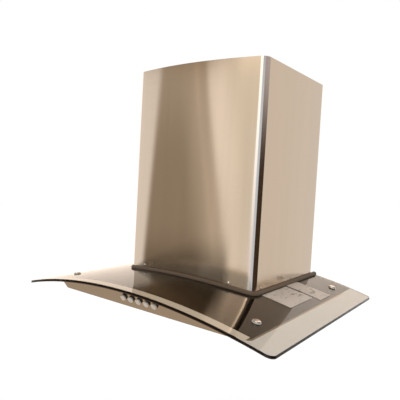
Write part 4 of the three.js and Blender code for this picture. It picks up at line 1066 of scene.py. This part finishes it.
class HOOD_OT_glass_screws(bpy.types.Operator):
    """Make the capped screws that hold the glass, with their washers"""

    bl_idname = "hood.glass_screws"
    bl_label = "Glass Screws"

    cap_radius = 0.007
    cap_height = 0.0026
    rim_share = 0.35
    shank = 0.0024
    washer_radius = 0.008
    washer_bore = 0.0027
    washer = 0.0012
    past_plate = 0.006

    def execute(self, context):
        s = sizes()
        seat = self.washer + 2 * s.fit
        end = -s.glass_thickness - s.fit - s.sheet - self.past_plate
        rim = seat + self.cap_height * self.rim_share
        crown = self.cap_height * (1 - self.rim_share)
        dome = [(self.cap_radius * math.cos(angle), rim + crown * math.sin(angle))
                for angle in spread(0, QUARTER, 10)[:-1]]
        profile = [(0, end), (self.shank, end), (self.shank, seat), (self.cap_radius, seat), *dome,
                   (0, seat + self.cap_height)]
        bore, r, low = self.washer_bore, self.washer_radius, s.fit
        high = low + self.washer
        ring = [(bore, low), (r, low), (r, low + self.washer * 0.7), (r - 0.0006, high), (bore, high)]
        for where, spot in zip(SCREW_CORNERS, glass_screw_spots()):
            place = on_arch(*spot)
            cap = turned(f"screw_cap_{where}", profile, place, chrome(), sharp=50)
            settle(cap, "root", "chrome", f"glass_screw_{where}")
            washer = turned(f"washer_{where}", ring, place, finish_for_slot("nylon"), sharp=50)
            settle(washer, "root", "nylon", f"glass_washer_{where}")
        return FINISHED


class HOOD_OT_labels(bpy.types.Operator):
    """Lay the two bare paper labels on the right of the glass"""

    bl_idname = "hood.labels"
    bl_label = "Bare Labels"

    faces = (0.00022, 0.00005)

    def execute(self, context):
        r = 0.0015
        for name, x0, x1, y0, y1 in (("label_front", 0.172, 0.233, -0.277, -0.174),
                                     ("label_rear", 0.170, 0.247, -0.166, -0.112)):
            corners = ((x0 + r, y0 + r, 180), (x1 - r, y0 + r, 270),
                       (x1 - r, y1 - r, 0), (x0 + r, y1 - r, 90))
            loop = [point for x, y, start in corners for point in arc(x, y, r, start, start + 90, 4)]
            label = arched_sheet(name, [loop], *self.faces, [label_paper()], spacing=0.008)
            settle(label, "root", "trim")
        return FINISHED


class HOOD_OT_small_screws(bpy.types.Operator):
    """Make the small cross-head screws of the chimney and of its wall bracket"""

    bl_idname = "hood.small_screws"
    bl_label = "Small Screws"

    head_reach = 0.0031
    slot = (0.0016, 0.00035, 0.0007)

    def execute(self, context):
        names = [name for name in frame["nodes"] if name.startswith(("chimney_screw_", "bracket_screw_"))]
        for name in names:
            place = self.place(name)
            screw = turned(name + "_head", self.profile(), place, chrome(), segments=32)
            for angle in (0, QUARTER):
                cut(screw, *moved(bar(*self.slot), place @ Matrix.Rotation(angle, 4, "Z")))
            settle(screw, "root", "chrome", name)
        return FINISHED

    def place(self, name):
        """Place and turn of a screw, the top of its head at zero and its axis square out of the sheet."""
        low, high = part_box(name)
        at = middle_of(name)
        if name.startswith("bracket"):
            way = Vector((0, -1, 0))
            at.y = low.y
        elif "side" in name:
            side = 1 if at.x > 0 else -1
            way = Vector((side, 0, 0))
            at.x = max(abs(low.x), abs(high.x)) * side
        else:
            half = COVER_HIGH.x
            bow = sizes().chimney_bow
            way = Vector((at.x, -(half * half + bow * bow) / (2 * bow), 0)).normalized()
            at = at + way * self.head_reach
        return facing(at, way)

    @staticmethod
    def profile():
        """Pan head with its top at zero, and its stem."""
        r, height, stem, length = 0.0028, 0.0016, 0.0017, 0.0053
        crown = height * 0.55
        dome = [(r * math.sin(angle), crown * (math.cos(angle) - 1))
                for angle in spread(0, QUARTER, 8)]
        return [*dome, (r, -height), (stem, -height), (stem, -height - length), (0, -height - length)]


class HOOD_OT_collar(bpy.types.Operator):
    """Make the outlet's round collar on its square flange"""

    bl_idname = "hood.collar"
    bl_label = "Outlet Collar"

    corner = 0.010
    radius = 0.075
    wall = 0.002
    ledge = 0.003
    flange = 0.0015
    pin_hole = 0.0018

    def execute(self, context):
        low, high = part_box("outlet_collar")
        half, corner = (high.x - low.x) / 2, self.corner

        def square(angle):
            """Distance from the middle to the rounded square's rim."""
            x, y = abs(math.cos(angle)), abs(math.sin(angle))
            flat = half / max(x, y)
            start = half - corner
            if min(x, y) * flat <= start:
                return flat
            along = (x + y) * start
            return along + math.sqrt(along * along - 2 * start * start + corner * corner)

        r, inner, ledge = self.radius, self.radius - self.wall, self.radius - self.wall - self.ledge
        pin_z = middle_of("damper_pin").z
        ledge_top, ledge_foot = pin_z - 0.0008, pin_z - 0.0023
        flange = low.z + self.flange
        profile = [
            (square, low.z), (square, flange - 0.0003), (lambda angle: square(angle) - 0.0003, flange),
            (r + 0.0012, flange), (r + 0.0003, flange + 0.0003), (r, flange + 0.0012),
            (r, high.z - 0.0005), (r - 0.0005, high.z), (inner + 0.0005, high.z), (inner, high.z - 0.0005),
            (inner, ledge_top), (ledge, ledge_top), (ledge, ledge_foot), (inner, ledge_foot), (inner, low.z)]
        middle = over_middle("outlet_collar", 0)
        collar = turned("collar_tube", profile, middle, finish_for_slot("grey_plastic"), segments=96)
        pin = facing(Vector((0, 0, pin_z)), Vector((1, 0, 0)))
        drill(collar, middle @ pin, self.pin_hole, reach=0.09)
        settle(collar, "root", "grey_plastic", "outlet_collar")
        return FINISHED


class HOOD_OT_lamps(bpy.types.Operator):
    """Make the two round lamps with their chrome bezels and dimpled lenses"""

    bl_idname = "hood.lamps"
    bl_label = "Lamps"

    def execute(self, context):
        outer, bore = 0.0275, 0.0258
        for side in ("left", "right"):
            low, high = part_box("lamp_bezel_" + side)
            place = over_middle("lamp_bezel_" + side, UNDERSIDE)
            flange = (high.x - low.x) / 2
            tube = high.z - UNDERSIDE
            ring = [(outer, 0.0012), (outer, tube), (bore, tube), (bore, 0.0012), (0.0236, 0.0012),
                    (0.023, 0.0009), (0.0233, 0.0003), (0.024, 0), (flange - 0.0012, 0),
                    (flange - 0.0003, 0.0004), (flange, 0.0012)]
            bezel = turned("bezel_" + side, ring, place, chrome(), segments=64)
            settle(bezel, "root", "chrome", "lamp_bezel_" + side)
            face = [(0, 0.0009), (0.0212, 0.0009), (0.022, 0.0011), (0.022, 0.0015), (0.0252, 0.0015),
                    (0.0255, 0.0018), (0.0255, 0.0032), (0.0252, 0.0035), (0, 0.0035)]
            lens = turned("lens_" + side, face, place, frosted_lens(), segments=64)
            settle(lens, "root", "lamp_lens", "lamp_lens_" + side)
        return FINISHED


class HOOD_OT_filters(bpy.types.Operator):
    """Make the filters' expanded metal faces and their turning knobs"""

    bl_idname = "hood.filters"
    bl_label = "Grease Filters"

    columns: bpy.props.IntProperty(
        name="Columns", description="Cells of the net from side to side", default=20)
    rows: bpy.props.IntProperty(
        name="Rows", description="Strands of the net from front to back", default=44)
    strand: size("Strand", "Width of a strand of the net", 0.0013)
    grip = (0.00544, 0.00077, 0.00084)

    def execute(self, context):
        for side in ("left", "right"):
            net = self.net("filter_net_" + side, *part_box("filter_mesh_" + side))
            settle(net, side + "_filter", "aluminium", "filter_mesh_" + side)
            low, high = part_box("filter_knob_" + side)
            at = over_middle("filter_knob_" + side, low.z)
            r, top = (high.x - low.x) / 2, high.z - low.z
            profile = [(0, 0.0004), (r * 0.3, 0.0003), (r * 0.7, 0), (r - 0.0008, 0), (r, 0.0009),
                       (r, 0.0026), (r * 0.55, 0.0045), (0.0045, 0.0052), (0.0045, 0.0067), (0.0025, 0.0067),
                       (0.0025, top), (0, top)]
            knob = turned("knob_" + side, profile, at, finish_for_slot("black_plastic"))
            cut(knob, *moved(bar(*self.grip), at))
            settle(knob, side + "_filter", "black_plastic", "filter_knob_" + side)
        return FINISHED

    def net(self, name, low, high):
        """Two layers of zigzag strands that touch at their bends, each layer half a cell off the other."""
        group = bpy.data.node_groups.new("expanded_metal", "GeometryNodeTree")
        group.interface.new_socket("Geometry", in_out="OUTPUT", socket_type="NodeSocketGeometry")
        span = high - low
        settings = {"Width": span.x, "Depth": span.y, "Height": span.z, "Strand": self.strand,
                    "Columns": self.columns, "Rows": self.rows}
        identifiers = {}
        for label, value in settings.items():
            kind = "NodeSocketInt" if isinstance(value, int) else "NodeSocketFloat"
            socket = group.interface.new_socket(label, in_out="INPUT", socket_type=kind)
            identifiers[label] = socket.identifier
        tree = Tree(group)
        given = tree.add("NodeGroupInput").socket.node
        values = [Value(tree, given.outputs[label]) for label in settings]
        width, depth, height, strand, columns, rows = values
        reach_x = width - strand
        reach_y = depth - strand
        pitch = reach_y / rows
        overlap, lift, thickness = strand * 0.4, strand * 0.25, strand * 0.6
        layer_rise = 0.22
        bends = columns * 2
        index = tree.add("GeometryNodeInputIndex")
        odd = index.math("MODULO", index, 2.0)

        def vector(x, y, z):
            return tree.add("ShaderNodeCombineXYZ", None, {0: x, 1: y, 2: z})

        def line_of(count, start, offset):
            return tree.add("GeometryNodeMeshLine", {"mode": "OFFSET"}, {
                "Count": count, "Start Location": start, "Offset": offset})

        def shifted(geometry, rise, scale):
            return tree.add("GeometryNodeTransform", None, {
                "Geometry": geometry, "Translation": vector(0.0, 0.0, height * rise), "Scale": scale})

        line = line_of(bends + 1, vector(reach_x * -0.5, 0.0, 0.0), vector(reach_x / bends, 0.0, 0.0))
        bend = vector(0.0, (odd - 0.5) * (pitch - overlap), (odd - 0.5) * lift)
        zigzag = tree.add("GeometryNodeSetPosition", None, {"Geometry": line, "Offset": bend})
        curve = tree.add("GeometryNodeMeshToCurve", None, {"Mesh": zigzag})
        section = tree.add("GeometryNodeCurvePrimitiveQuadrilateral", {"mode": "RECTANGLE"}, {
            "Width": strand, "Height": thickness})
        ribbon = tree.add("GeometryNodeCurveToMesh", None, {
            "Curve": curve, "Profile Curve": section, "Fill Caps": True})
        places = line_of(rows, vector(0.0, (reach_y - pitch) * -0.5, 0.0), vector(0.0, pitch, 0.0))
        layer = tree.add("GeometryNodeInstanceOnPoints", None, {
            "Points": places, "Instance": ribbon, "Scale": vector(1.0, 1.0 - odd * 2.0, 1.0)})
        layer = tree.add("GeometryNodeRealizeInstances", None, {"Geometry": layer})
        upper = shifted(layer, layer_rise, (-1.0, -1.0, 1.0))
        lower = shifted(layer, -layer_rise, (1.0, 1.0, 1.0))
        both = tree.add("GeometryNodeJoinGeometry", None, {0: upper})
        tree.links.new(lower.socket, both.socket.node.inputs[0])
        painted = tree.add("GeometryNodeSetMaterial", None, {"Geometry": both, "Material": aluminium()})
        tree.add("NodeGroupOutput", None, {0: painted})

        net = bpy.data.objects.new(name, bpy.data.meshes.new(name))
        bpy.context.scene.collection.objects.link(net)
        change = net.modifiers.new("net", "NODES")
        change.node_group = group
        for label, value in settings.items():
            change[identifiers[label]] = value
        apply(net, change)
        net.data.transform(Matrix.Translation((low + high) / 2))
        return net


class HOOD_PT_panel(bpy.types.Panel):
    """Lists the hood's operators, sizes and colours"""

    bl_idname = "HOOD_PT_panel"
    bl_label = "Range Hood"
    bl_space_type = "VIEW_3D"
    bl_region_type = "UI"
    bl_category = "Range Hood"

    def draw(self, context):
        for operator in OPERATORS:
            self.layout.operator(operator.bl_idname)
        for group in (sizes(), colours()):
            box = self.layout.box()
            for name in group.__annotations__:
                box.prop(group, name)


OPERATORS = (
    HOOD_OT_stage, HOOD_OT_finishes, HOOD_OT_canopy, HOOD_OT_chimney, HOOD_OT_casing,
    HOOD_OT_buttons, HOOD_OT_glass_screws, HOOD_OT_labels, HOOD_OT_small_screws, HOOD_OT_collar,
    HOOD_OT_lamps, HOOD_OT_filters,
)
CLASSES = (HoodSizes, HoodColours, *OPERATORS, HOOD_PT_panel)


def register():
    for cls in CLASSES:
        bpy.utils.register_class(cls)
    bpy.types.Scene.hood_sizes = bpy.props.PointerProperty(type=HoodSizes)
    bpy.types.Scene.hood_colours = bpy.props.PointerProperty(type=HoodColours)


def unregister():
    del bpy.types.Scene.hood_colours
    del bpy.types.Scene.hood_sizes
    for cls in reversed(CLASSES):
        bpy.utils.unregister_class(cls)


def main():
    register()
    for operator in OPERATORS:
        group, name = operator.bl_idname.split(".")
        getattr(getattr(bpy.ops, group), name)()


if __name__ == "__main__":
    main()
